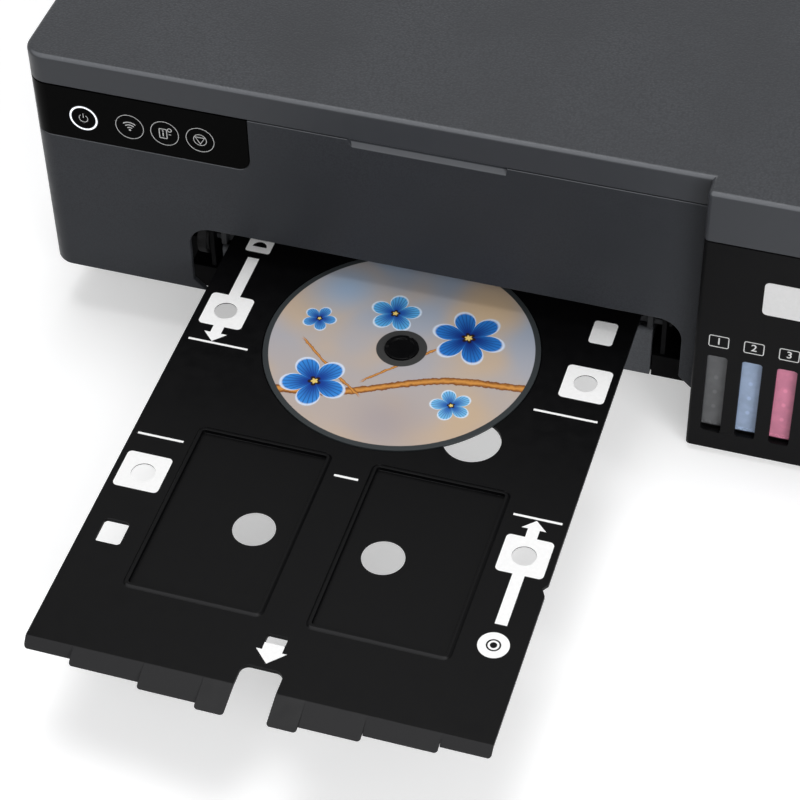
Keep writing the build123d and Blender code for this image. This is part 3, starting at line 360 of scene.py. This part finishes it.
def flat_arc(y, radius, width, start, sweep, steps):
    """A part of a ring about a point on x = 0, made by spinning a small upright face."""
    deselect()
    bpy.ops.mesh.primitive_plane_add(size=1)
    piece = bpy.context.object
    piece.scale = (width * MM, PRINT_DEPTH * MM, 1)
    piece.rotation_euler = (math.pi / 2, 0, 0)
    piece.location = (radius * MM, 0, PRINT_DEPTH / 2 * MM)
    settle(piece)
    turn = math.radians(sweep)
    edit_all(piece,
             lambda: bpy.ops.mesh.spin(steps=steps, angle=turn, center=(0, 0, 0), axis=(0, 0, 1)),
             face_outwards)
    piece.rotation_euler = (0, 0, math.radians(start + sweep))
    piece.location = (0, y * MM, 0)
    return settle(piece)


def flat_frame(x0, x1, y0, y1, radius, width):
    outer = flat_panel(x0, x1, y0, y1, radius)
    inner_radius = max(radius - width, 0.1)
    inner = flat_panel(x0 + width, x1 - width, y0 + width, y1 - width, inner_radius, CUTTER_DEPTH)
    return cut_through(outer, inner)


def stand(piece, x, y, z):
    """Stands a flat piece, drawn about its own middle, on a front face that looks towards the user."""
    piece.rotation_euler = (math.pi / 2, 0, 0)
    piece.location = at(x, y + PRINT_SINK, z)
    return settle(piece)


def finish_piece(piece, material, body):
    piece.data.materials.clear()
    piece.data.materials.append(material)
    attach(piece, body)
    return piece


def softened(node, material, width):
    """The node's own shape with its sharp edges rounded off."""
    piece = bpy.data.objects.new(node + "_shell", nodes[node].data.copy())
    bpy.context.scene.collection.objects.link(piece)
    edit_all(piece,
             lambda: bpy.ops.mesh.remove_doubles(threshold=2e-6),
             lambda: bpy.ops.mesh.dissolve_limited(angle_limit=math.radians(0.5)),
             select_all)
    finish_modifier(piece, "BEVEL", width=width * MM, segments=2, limit_method="ANGLE",
                    angle_limit=math.radians(BEVEL_ANGLES.get(node, BEVEL_ANGLE)), use_clamp_overlap=False,
                    harden_normals=False, miter_outer="MITER_ARC")
    pick(piece)
    bpy.ops.object.shade_smooth_by_angle(angle=math.radians(SMOOTH_ANGLES.get(node, SMOOTH_ANGLE)))
    finish_modifier(piece, "WEIGHTED_NORMAL", mode="FACE_AREA", weight=50, keep_sharp=True)
    finish_piece(piece, material, body_of_node[node])
    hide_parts(node)


# Materials

def colour(grey_or_rgb):
    """Screen values from 0 to 255, as the linear colour that a shader takes."""
    values = (grey_or_rgb,) * 3 if isinstance(grey_or_rgb, (int, float)) else grey_or_rgb
    linear = [(v / 255 / 12.92) if v <= 10 else ((v / 255 + 0.055) / 1.055) ** 2.4 for v in values]
    return (*linear, 1.0)


def tone(base, share, lift=0.0):
    """A linear colour made darker or lighter by a share."""
    return (*(min(1.0, part * share + lift) for part in base[:3]), 1.0)


class Finish:
    """A material under construction, its patterns read in the piece's own coordinates."""

    def __init__(self, name, roughness, specular):
        self.material = bpy.data.materials.new(name)
        self.material.use_nodes = True
        self.tree = self.material.node_tree
        self.shader = self.tree.nodes["Principled BSDF"]
        self.shader.inputs["Roughness"].default_value = roughness
        self.shader.inputs["Specular IOR Level"].default_value = specular
        self.coordinates = self.tree.nodes.new("ShaderNodeTexCoord")
        self.place = self.coordinates.outputs["Object"]

    def node(self, kind, links, **values):
        """A node with sockets set to values, given by their names in small letters, and others linked."""
        made = self.tree.nodes.new(kind)
        for key, value in values.items():
            made.inputs[key.replace("_", " ").title()].default_value = value
        for socket, source in links.items():
            self.tree.links.new(source, made.inputs[socket])
        return made

    def fill(self, socket, value):
        if isinstance(value, (int, float, tuple)):
            socket.default_value = value
        else:
            self.tree.links.new(value, socket)

    def math(self, operation, a, b=0.0):
        made = self.tree.nodes.new("ShaderNodeMath")
        made.operation = operation
        self.fill(made.inputs[0], a)
        self.fill(made.inputs[1], b)
        return made.outputs[0]

    def add(self, a, b):
        return self.math("ADD", a, b)

    def subtract(self, a, b):
        return self.math("SUBTRACT", a, b)

    def multiply(self, a, b):
        return self.math("MULTIPLY", a, b)

    def opposite(self, share):
        return self.math("SUBTRACT", 1.0, share)

    def length(self, across, up):
        return self.math("SQRT", self.add(self.multiply(across, across), self.multiply(up, up)))

    def step(self, value, low, high):
        """0 below low, 1 above high and a smooth ramp between them."""
        made = self.node("ShaderNodeMapRange", {"Value": value}, from_min=low, from_max=high)
        made.interpolation_type = "SMOOTHSTEP"
        return made.outputs[0]

    def mix(self, factor, first, second):
        made = self.tree.nodes.new("ShaderNodeMix")
        made.data_type = "RGBA"
        self.fill(made.inputs[0], factor)
        self.fill(made.inputs[6], first)
        self.fill(made.inputs[7], second)
        return made.outputs[2]

    def axes(self, place=None):
        return self.node("ShaderNodeSeparateXYZ", {"Vector": place or self.place}).outputs

    def noise(self, scale, detail=3.0, place=None):
        links = {"Vector": place or self.place}
        return self.node("ShaderNodeTexNoise", links, scale=scale, detail=detail).outputs["Fac"]

    def cells(self, size):
        """How far a point lies from the middle of its small rounded cell."""
        made = self.tree.nodes.new("ShaderNodeTexVoronoi")
        made.feature = "SMOOTH_F1"
        made.inputs["Scale"].default_value = 1 / size
        made.inputs["Smoothness"].default_value = 0.6
        self.tree.links.new(self.place, made.inputs["Vector"])
        return made.outputs["Distance"]

    # Mask of the painted highlight on edges that lean to the front
    def front_edges(self):
        """1 where the surface leans halfway between upwards and the front, as a rounded upper edge does."""
        lean = self.tree.nodes.new("ShaderNodeVectorMath")
        lean.operation = "DOT_PRODUCT"
        lean.inputs[1].default_value = (0.0, -math.sqrt(0.5), math.sqrt(0.5))
        self.tree.links.new(self.coordinates.outputs["Normal"], lean.inputs[0])
        return self.step(lean.outputs["Value"], 0.84, 0.97)

    def bump(self, height, distance):
        made = self.node("ShaderNodeBump", {"Height": height}, distance=distance * MM)
        self.tree.links.new(made.outputs[0], self.shader.inputs["Normal"])

    def vary_roughness(self, low, high, scale):
        made = self.node("ShaderNodeMapRange", {"Value": self.noise(scale)},
                         from_min=0.3, from_max=0.7, to_min=low, to_max=high)
        self.tree.links.new(made.outputs[0], self.shader.inputs["Roughness"])

    def paint(self, value):
        self.tree.links.new(value, self.shader.inputs["Base Color"])


def grained_plastic(name, shade, roughness, specular, grain=0.0011, depth=0.05, spread=0.08,
                    smooth_below=None, smooth_painted_shade=None, tip_front_of=None, tip_painted_light=None,
                    painted_highlight_shade=None):
    """Moulded plastic with a leather-like grain of small rounded cells. Below one height it can be smooth
    and of another shade, a painted shade for how light falls on those fronts; tips that lie in front of a
    line can be painted lighter as if lit; and edges that lean to the front can have a painted highlight."""
    finish = Finish(name, roughness, specular)
    base = colour(shade)
    cells = finish.cells(grain)
    patches = finish.step(finish.noise(14.0, 4.0), 0.35, 0.65)
    ridges = finish.mix(patches, tone(base, 1 - spread), tone(base, 1 + spread))
    tint = finish.mix(finish.step(cells, 0.25, 0.75), ridges, tone(base, 1 - 1.6 * spread))
    height = finish.add(finish.multiply(cells, -1.0), finish.multiply(finish.noise(2.6 / grain, 2.0), 0.45))
    # Below the height the faces are smooth and ungrained, with a painted shade of their own set for how
    # light falls on the fronts
    if smooth_below is not None:
        above = finish.step(finish.axes()["Z"], (smooth_below - 0.3) * MM, (smooth_below + 0.3) * MM)
        tint = finish.mix(above, colour(smooth_painted_shade), tint)
        height = finish.multiply(height, above)
    # Painted light: tips in front of the line are painted lighter, as where light falls on the tray's
    # sloping lips
    if tip_front_of is not None:
        line = (tip_front_of + SHIFT_Y) * MM
        behind = finish.step(finish.axes()["Y"], line - 0.3 * MM, line + 0.3 * MM)
        tint = finish.mix(behind, colour(tip_painted_light), tint)
    # Painted highlight: edges that lean to the front are painted lighter, as if they caught the light
    if painted_highlight_shade is not None:
        tint = finish.mix(finish.front_edges(), tint, colour(painted_highlight_shade))
    finish.paint(tint)
    finish.vary_roughness(roughness - 0.06, roughness + 0.06, 180.0)
    finish.bump(height, depth)
    return finish.material


def smooth_plastic(name, shade, roughness=0.4, specular=0.3):
    """Plastic from a polished mould: faint waviness and uneven gloss."""
    finish = Finish(name, roughness, specular)
    base = colour(shade)
    waves = finish.step(finish.noise(22.0, 4.0), 0.3, 0.7)
    finish.paint(finish.mix(waves, tone(base, 0.95), tone(base, 1.05)))
    finish.vary_roughness(roughness - 0.05, roughness + 0.05, 90.0)
    finish.bump(finish.noise(520.0, 2.0), 0.01)
    return finish.material


def moulded_marks(finish, x, height):
    """Three small round marks, one over the other, in the middle of each tank's window."""
    first_edge = FIRST_TANK_X + SHIFT_X - TANK_PITCH / 2
    along = finish.add(x, (30 * TANK_PITCH - first_edge) * MM)
    across = finish.subtract(finish.math("MODULO", along, TANK_PITCH * MM), TANK_PITCH / 2 * MM)
    marks = 0.0
    for z in (26.7, 35.5, 44.3):
        up = finish.multiply(finish.subtract(height, z * MM), 0.8)
        mark = finish.opposite(finish.step(finish.length(across, up), 0.5 * MM, 1.3 * MM))
        marks = finish.math("MAXIMUM", marks, mark)
    return marks


def ink_plastic(name, shade):
    """A clear tank wall with ink behind it: painted glints in streaks at its foot and head, three moulded
    marks, and painted shade, near-black, below 15 mm.
    """
    finish = Finish(name, 0.28, 0.2)
    axes = finish.axes()
    height = axes["Z"]
    base = colour(shade)
    ink = finish.mix(finish.step(finish.noise(160.0, 3.0), 0.35, 0.65), tone(base, 0.86), base)
    foot = finish.opposite(finish.step(height, 15.8 * MM, 18.2 * MM))
    head = finish.step(height, 55.5 * MM, 58.5 * MM)
    # Painted glints: streaks painted lighter at the foot and head of the ink
    streaks = finish.step(finish.noise(900.0, 2.0), 0.45, 0.6)
    painted_glints = finish.multiply(finish.math("MAXIMUM", foot, head), streaks)
    marks = moulded_marks(finish, axes["X"], height)
    light = finish.math("MAXIMUM", finish.multiply(painted_glints, 0.7), finish.multiply(marks, 0.45))
    filled = finish.mix(light, ink, tone(base, 1.5, 0.02))
    # Painted shade: below 15 mm the window is painted near-black, as the shaded bottom of the window
    finish.paint(finish.mix(finish.step(height, 15.0 * MM, 15.6 * MM), colour(8), filled))
    finish.bump(finish.noise(240.0, 2.0), 0.03)
    finish.shader.inputs["Coat Weight"].default_value = 0.1
    finish.shader.inputs["Coat Roughness"].default_value = 0.1
    return finish.material


def brushed_metal(name, shade, roughness=0.32, along=(1, 40, 40)):
    finish = Finish(name, roughness, 0.5)
    finish.shader.inputs["Metallic"].default_value = 1.0
    stretched = finish.node("ShaderNodeMapping", {"Vector": finish.place}, scale=along).outputs[0]
    lines = finish.noise(90.0, place=stretched)
    base = colour(shade)
    finish.paint(finish.mix(finish.step(lines, 0.3, 0.7), tone(base, 0.8), base))
    finish.bump(lines, 0.01)
    return finish.material


def rubber(name, shade):
    finish = Finish(name, 0.75, 0.25)
    base = colour(shade)
    finish.paint(finish.mix(finish.step(finish.noise(300.0, 4.0), 0.4, 0.7), base, tone(base, 1.5, 0.002)))
    finish.bump(finish.noise(1600.0, 3.0), 0.03)
    return finish.material


def lit_ring(name):
    """The light guide round the power button: bright along its middle, dim at both edges."""
    finish = Finish(name, 0.3, 0.3)
    axes = finish.axes()
    across = finish.subtract(axes["X"], (BUTTONS["power_button"] + SHIFT_X) * MM)
    up = finish.subtract(axes["Z"], BUTTON_HEIGHT * MM)
    off = finish.math("ABSOLUTE", finish.subtract(finish.length(across, up), LIGHT_RING_RADIUS * MM))
    edge = finish.step(off, 0.12 * MM, 0.55 * MM)
    speck = finish.step(finish.noise(700.0, 2.0), 0.3, 0.7)
    glow = finish.mix(speck, colour((236, 243, 255)), colour((250, 252, 255)))
    finish.paint(finish.mix(edge, glow, colour(24)))
    finish.tree.links.new(finish.mix(edge, glow, colour(6)), finish.shader.inputs["Emission Color"])
    finish.shader.inputs["Emission Strength"].default_value = 1.0
    finish.bump(finish.noise(900.0, 2.0), 0.01)
    return finish.material


def circuit_board(name):
    finish = Finish(name, 0.35, 0.5)
    traces = finish.node("ShaderNodeTexBrick", {"Vector": finish.place}, scale=260.0, mortar_size=0.012,
                         color1=colour((16, 92, 52)), color2=colour((20, 104, 58)),
                         mortar=colour((120, 160, 110)))
    bare = finish.step(finish.noise(240.0, 3.0), 0.45, 0.6)
    finish.paint(finish.mix(bare, traces.outputs["Color"], colour((14, 84, 48))))
    finish.bump(finish.noise(800.0, 2.0), 0.02)
    return finish.material


def printed_ink(name, shade=250):
    finish = Finish(name, 0.55, 0.3)
    base = colour(shade)
    finish.paint(finish.mix(finish.step(finish.noise(600.0, 4.0), 0.35, 0.65), tone(base, 0.97), base))
    finish.bump(finish.noise(1500.0, 2.0), 0.01)
    return finish.material


# The disc's printed face

def distance(finish, x, y, middle_x, middle_y):
    return finish.length(finish.subtract(x, middle_x * MM), finish.subtract(y, middle_y * MM))


def soft_sky(finish, x, y):
    sky = finish.mix(finish.step(y, -55 * MM, 50 * MM), colour((186, 172, 164)), colour((158, 172, 192)))
    haze = finish.multiply(finish.step(finish.noise(26.0, 1.0), 0.42, 0.66), 0.7)
    picture = finish.mix(haze, sky, colour((205, 176, 140)))
    for middle_x, middle_y, reach, shade in SKY_SPOTS:
        spot = finish.opposite(finish.step(distance(finish, x, y, middle_x, middle_y), 0.0, reach * MM))
        picture = finish.mix(finish.multiply(spot, 0.8), picture, colour(shade))
    return picture


def add_twig(finish, picture, x, y, rough, low, slope, swing, rate, width, start, end):
    bends = finish.multiply(finish.math("SINE", finish.multiply(x, rate)), swing * MM)
    line = finish.add(finish.multiply(x, slope), bends)
    off = finish.math("ABSOLUTE", finish.add(finish.subtract(finish.subtract(y, low * MM), line), rough))
    inside = finish.opposite(finish.step(off, (width - 0.4) * MM, width * MM))
    ends = finish.multiply(finish.step(x, start * MM, (start + 3) * MM),
                           finish.opposite(finish.step(x, (end - 3) * MM, end * MM)))
    shaded = finish.step(off, 0.0, width * 0.9 * MM)
    bark = finish.mix(shaded, colour((214, 148, 74)), colour((120, 70, 34)))
    return finish.mix(finish.multiply(inside, ends), picture, bark)


def add_blossom(finish, picture, x, y, middle_x, middle_y, size, turn, petals, inner, outer):
    """A flower whose edge swings in and out once for each petal, with fine veins and a pale border."""
    across = finish.subtract(x, middle_x * MM)
    up = finish.subtract(y, middle_y * MM)
    angle = finish.add(finish.math("ARCTAN2", up, across), turn)
    wave = finish.math("ABSOLUTE", finish.math("COSINE", finish.multiply(angle, petals / 2)))
    swing = finish.multiply(finish.math("POWER", wave, 0.6), 0.56)
    edge = finish.multiply(finish.add(swing, 0.44), size * MM)
    share = finish.math("DIVIDE", finish.length(across, up), edge)
    vein = finish.math("ABSOLUTE", finish.math("SINE", finish.multiply(angle, petals * 4)))
    petal = finish.mix(finish.step(share, 0.15, 0.95), colour(inner), colour(outer))
    petal = finish.mix(finish.multiply(finish.step(vein, 0.86, 1.0), 0.55), petal, colour((24, 44, 96)))
    petal = finish.mix(finish.multiply(finish.step(share, 0.86, 0.93), 0.8), petal, colour((232, 240, 250)))
    petal = finish.mix(finish.opposite(finish.step(share, 0.16, 0.22)), petal, colour((40, 26, 22)))
    petal = finish.mix(finish.opposite(finish.step(share, 0.08, 0.12)), petal, colour((236, 206, 120)))
    return finish.mix(finish.opposite(finish.step(share, 0.94, 1.0)), picture, petal)


def disc_art(name):
    """A made-up picture of blue blossoms on a bent twig before a soft sky."""
    finish = Finish(name, 0.32, 0.15)
    centred = finish.node("ShaderNodeMapping", {"Vector": finish.place},
                          location=(-SHIFT_X * MM, -SHIFT_Y * MM, 0)).outputs[0]
    axes = finish.axes(centred)
    x, y = axes["X"], axes["Y"]
    picture = soft_sky(finish, x, y)
    rough = finish.multiply(finish.subtract(finish.noise(420.0, 3.0), 0.5), 2.2 * MM)
    for twig in TWIGS:
        picture = add_twig(finish, picture, x, y, rough, *twig)
    for blossom in BLOSSOMS:
        picture = add_blossom(finish, picture, x, y, *blossom)
    centre = distance(finish, x, y, 0, 0)
    rim = finish.step(centre, (DISC_RIM - 0.1) * MM, (DISC_RIM + 0.2) * MM)
    face = finish.mix(rim, picture, colour((54, 58, 60)))
    hub = finish.opposite(finish.step(centre, (HUB_EDGE - 0.1) * MM, (HUB_EDGE + 0.2) * MM))
    finish.paint(finish.mix(hub, face, colour(60)))
    finish.bump(finish.noise(300.0, 2.0), 0.006)
    return finish.material


# Prints and labels

def tray_pad(x, y, hole_y):
    """A white square round one of the holes that the sensor looks for."""
    pad = flat_panel(x - PAD_HALF, x + PAD_HALF, y - PAD_HALF, y + PAD_HALF, PAD_CORNER)
    hole = flat_disc(math.copysign(SENSOR_HOLE_X, x), hole_y, SENSOR_HOLE_RADIUS, CUTTER_DEPTH)
    return cut_through(pad, hole)


def slot_icon():
    """A white square with a half disc cut out of it."""
    x, y, radius = SLOT_ICON_DOME
    dome = cut(flat_disc(x, y, radius, CUTTER_DEPTH), flat_panel(-90, -70, 38.0, y, depth=PRINT_DEPTH * 6))
    return cut_through(flat_panel(*SLOT_ICON, 1.2), dome)


def add_tray_print(material):
    """White position marks printed on the tray."""
    parts = [tray_pad(*pad) for pad in PADS]
    parts += [flat_panel(x0, x1, y - LINE_HALF, y + LINE_HALF) for x0, x1, y in LINES]
    parts += [flat_panel(*shaft, depth=SHAFT_DEPTH) for shaft in SHAFTS]
    parts += [flat_triangle(*arrow, ARROW_DEPTH) for arrow in ARROWS]
    parts += [slot_icon(), flat_panel(*BACK_PAD, 1.6)]
    parts += [flat_ring(*TARGET, radius, width) for radius, width in TARGET_RINGS]
    piece = join("tray_print", parts)
    piece.location = at(0, 0, TRAY_TOP - PRINT_SINK)
    finish_piece(settle(piece), material, "disc_tray")


def power_symbol():
    bar = flat_panel(-0.15, 0.15, 0.3, 2.7)
    return join("power_symbol", [flat_arc(0, 2.0, 0.3, 125, 290, 28), bar])


def wireless_symbol():
    sizes = ((4.4, 16), (3.0, 12), (1.6, 10))
    arcs = [flat_arc(-1.9, radius, 0.5, 50, 80, steps) for radius, steps in sizes]
    return join("wireless_symbol", [*arcs, flat_disc(0, -1.7, 0.5)])


def info_symbol():
    sheet = flat_frame(-2.6, 1.2, -2.9, 2.5, 0.5, 0.4)
    letter = [flat_panel(-0.95, -0.45, -1.7, 0.4), flat_disc(-0.7, 1.2, 0.38)]
    signal = [flat_ring(2.4, 2.2, 0.9, 0.35), flat_panel(1.9, 2.9, -0.4, 0.0)]
    return join("info_symbol", [sheet, *letter, *signal])


def stop_symbol():
    triangle = flat_triangle(0, 1.55, -2.6, 4.8)
    hollow = cut_through(triangle, flat_triangle(0, 1.2, -1.85, 3.9, CUTTER_DEPTH))
    return join("stop_symbol", [hollow, flat_ring(0, 0, 2.95, 0.3)])


def add_button_symbols(material):
    symbols = {"power_button": power_symbol(), "wireless_button": wireless_symbol(),
               "info_button": info_symbol(), "stop_button": stop_symbol()}
    for button, symbol in symbols.items():
        stand(symbol, BUTTONS[button], FRONT, BUTTON_HEIGHT)
        finish_piece(symbol, material, button)


def add_button_rings(material):
    """A thin ring round each button but the power button, which has its light."""
    ringed = [x for button, x in BUTTONS.items() if button != "power_button"]
    rings = copies(flat_ring(0, 0, BUTTON_RING_RADIUS, BUTTON_RING_WIDTH), len(ringed))
    for ring, x in zip(rings, ringed):
        stand(ring, x, FRONT, BUTTON_HEIGHT)
    finish_piece(join("button_rings", rings), material, "printer")


def flat_digit(number):
    deselect()
    bpy.ops.object.text_add()
    digit = bpy.context.object
    digit.data.body = str(number)
    digit.data.size = 5.4 * MM
    digit.data.align_x = "CENTER"
    digit.data.align_y = "CENTER"
    digit.data.extrude = PRINT_DEPTH / 2 * MM
    digit.data.offset = 0.04 * MM
    bpy.ops.object.convert(target="MESH")
    digit = bpy.context.object
    edit_all(digit, lambda: bpy.ops.mesh.remove_doubles(threshold=1e-6))
    digit.location = (0, 0, PRINT_DEPTH / 2 * MM)
    return settle(digit)


def add_tank_labels(material):
    """A framed number over each ink window."""
    labels = []
    for number, box in enumerate(copies(flat_frame(-4.35, 4.35, -3.35, 3.35, 1.0, 0.4), TANK_COUNT)):
        x = FIRST_TANK_X + number * TANK_PITCH
        labels.append(stand(box, x, TANK_FRONT, TANK_NUMBER_HEIGHT))
        labels.append(stand(flat_digit(number + 1), x, TANK_FRONT, TANK_NUMBER_HEIGHT))
    finish_piece(join("tank_numbers", labels), material, "printer")


def add_side_badge(material):
    """The bare pale label on the tank block."""
    badge = flat_panel(-23.5, 23.5, -9.0, 9.0, 2.2, 0.25)
    edit_all(badge, lambda: bpy.ops.mesh.bevel(offset=0.04 * MM, segments=1, affect="EDGES"))
    x, height = BADGE_PLACE
    finish_piece(stand(badge, x, TANK_FRONT, height), material, "printer")


# The studio

add_camera()
add_world()
add_floor()
for lamp in LAMPS:
    add_lamp(*lamp)

# The printer's materials

# The casing's smooth fronts have a painted shade. The casing, the front panel and the tray have a painted
# highlight on edges that lean to the front. The tray's lip tips are painted lighter where light falls on
# them.
casing = grained_plastic("casing_plastic", (57, 59, 63), 0.38, 0.2, depth=0.18, spread=0.13,
                         smooth_below=LID_TOP - 0.7, smooth_painted_shade=(60, 62, 66), painted_highlight_shade=(98, 100, 104))
front_casing = grained_plastic("front_plastic", (54, 56, 60), 0.38, 0.1, grain=0.0007, depth=0.006,
                               painted_highlight_shade=(102, 104, 108))
tank_black = grained_plastic("tank_block_plastic", (15, 15, 16), 0.42, 0.06, grain=0.0006, depth=0.01)
base_black = grained_plastic("base_plastic", (9, 9, 10), 0.5, 0.03, grain=0.0008, depth=0.02)
tray_black = grained_plastic("tray_plastic", (7, 7, 8), 0.4, 0.07, grain=0.0006, depth=0.008,
                             tip_front_of=TRAY_FRONT, tip_painted_light=(40, 40, 41), painted_highlight_shade=(46, 46, 47))
inner_plastic = grained_plastic("inner_plastic", (10, 10, 11), 0.55, 0.05, grain=0.0009, depth=0.015)
output_plastic = grained_plastic("output_plastic", (80, 82, 86), 0.45, 0.15, grain=0.0007, depth=0.012)
panel_gloss = smooth_plastic("panel_gloss", 4, roughness=0.12, specular=0.02)
guide_plastic = smooth_plastic("guide_plastic", (44, 45, 47), roughness=0.45, specular=0.1)
absorber = smooth_plastic("absorber_plastic", (150, 150, 152), roughness=0.5)
hub_gloss = smooth_plastic("hub_plastic", (9, 9, 10), roughness=0.25, specular=0.12)
mark_ink = printed_ink("mark_ink")
symbol_ink = printed_ink("symbol_ink", 205)
label_ink = printed_ink("label_ink", 220)
label_face = printed_ink("label_face", 226)
steel = brushed_metal("zinc_steel", (196, 198, 200))
shaft_steel = brushed_metal("ground_steel", (214, 215, 216), roughness=0.2, along=(1, 60, 60))
black_rubber = rubber("black_rubber", (24, 24, 25))

# Pieces whose edges are rounded, each with its material and the width of the rounding in millimetres

shells = {
    "top_cover": (casing, 0.3),
    "rear_housing": (casing, 0.3),
    "rear_feed_cover": (casing, 0.3),
    "main_housing": (front_casing, 0.45),
    "tank_housing": (tank_black, 0.35),
    "lower_housing": (base_black, 0.35),
    "output_tray": (output_plastic, 0.4),
    "disc_tray": (tray_black, 0.22),
    "disc_tray_guides": (guide_plastic, 0.3),
    "control_panel": (panel_gloss, 0.2),
    "disc_hub": (hub_gloss, 0.15),
    "disc": (disc_art("disc_face"), 0.12),
}
for node, (material, width) in shells.items():
    softened(node, material, width)

# Pieces that keep their drawn shape

plain = {
    inner_plastic: ("output_tray_extension", "side_frames", "platen", "paper_guide", "hopper", "carriage",
                    "capping_station", "power_supply"),
    black_rubber: ("exit_roller", "feed_roller", "pickup_roller", "feed_belt", "timing_belt", "rubber_feet"),
    guide_plastic: ("edge_guide_left", "edge_guide_right", "drive_pulley", "idler_pulley"),
    steel: ("steel_frame", "feed_motor", "carriage_motor", "usb_port", "housing_screws"),
    shaft_steel: ("guide_rod", "cover_hinge_pins"),
    casing: ("paper_support",),
    hub_gloss: ("print_head",),
    base_black: ("power_inlet",),
    absorber: ("maintenance_box",),
    panel_gloss: tuple(BUTTONS),
    circuit_board("board_green"): ("mainboard",),
    lit_ring("power_light"): ("power_light_ring",),
}
for number in range(TANK_COUNT):
    plain[ink_plastic("tank_ink_%d" % (number + 1), INKS[number])] = ("ink_tank_%d" % (number + 1),)
    plain[smooth_plastic("tank_cap_%d" % (number + 1), CAPS[number])] = ("ink_cap_%d" % (number + 1),)
for material, members in plain.items():
    for node in members:
        nodes[node].data.materials.clear()
        nodes[node].data.materials.append(material)

add_tray_print(mark_ink)
add_button_symbols(symbol_ink)
add_button_rings(symbol_ink)
add_tank_labels(label_ink)
add_side_badge(label_face)

bpy.context.scene.view_settings.view_transform = "Standard"
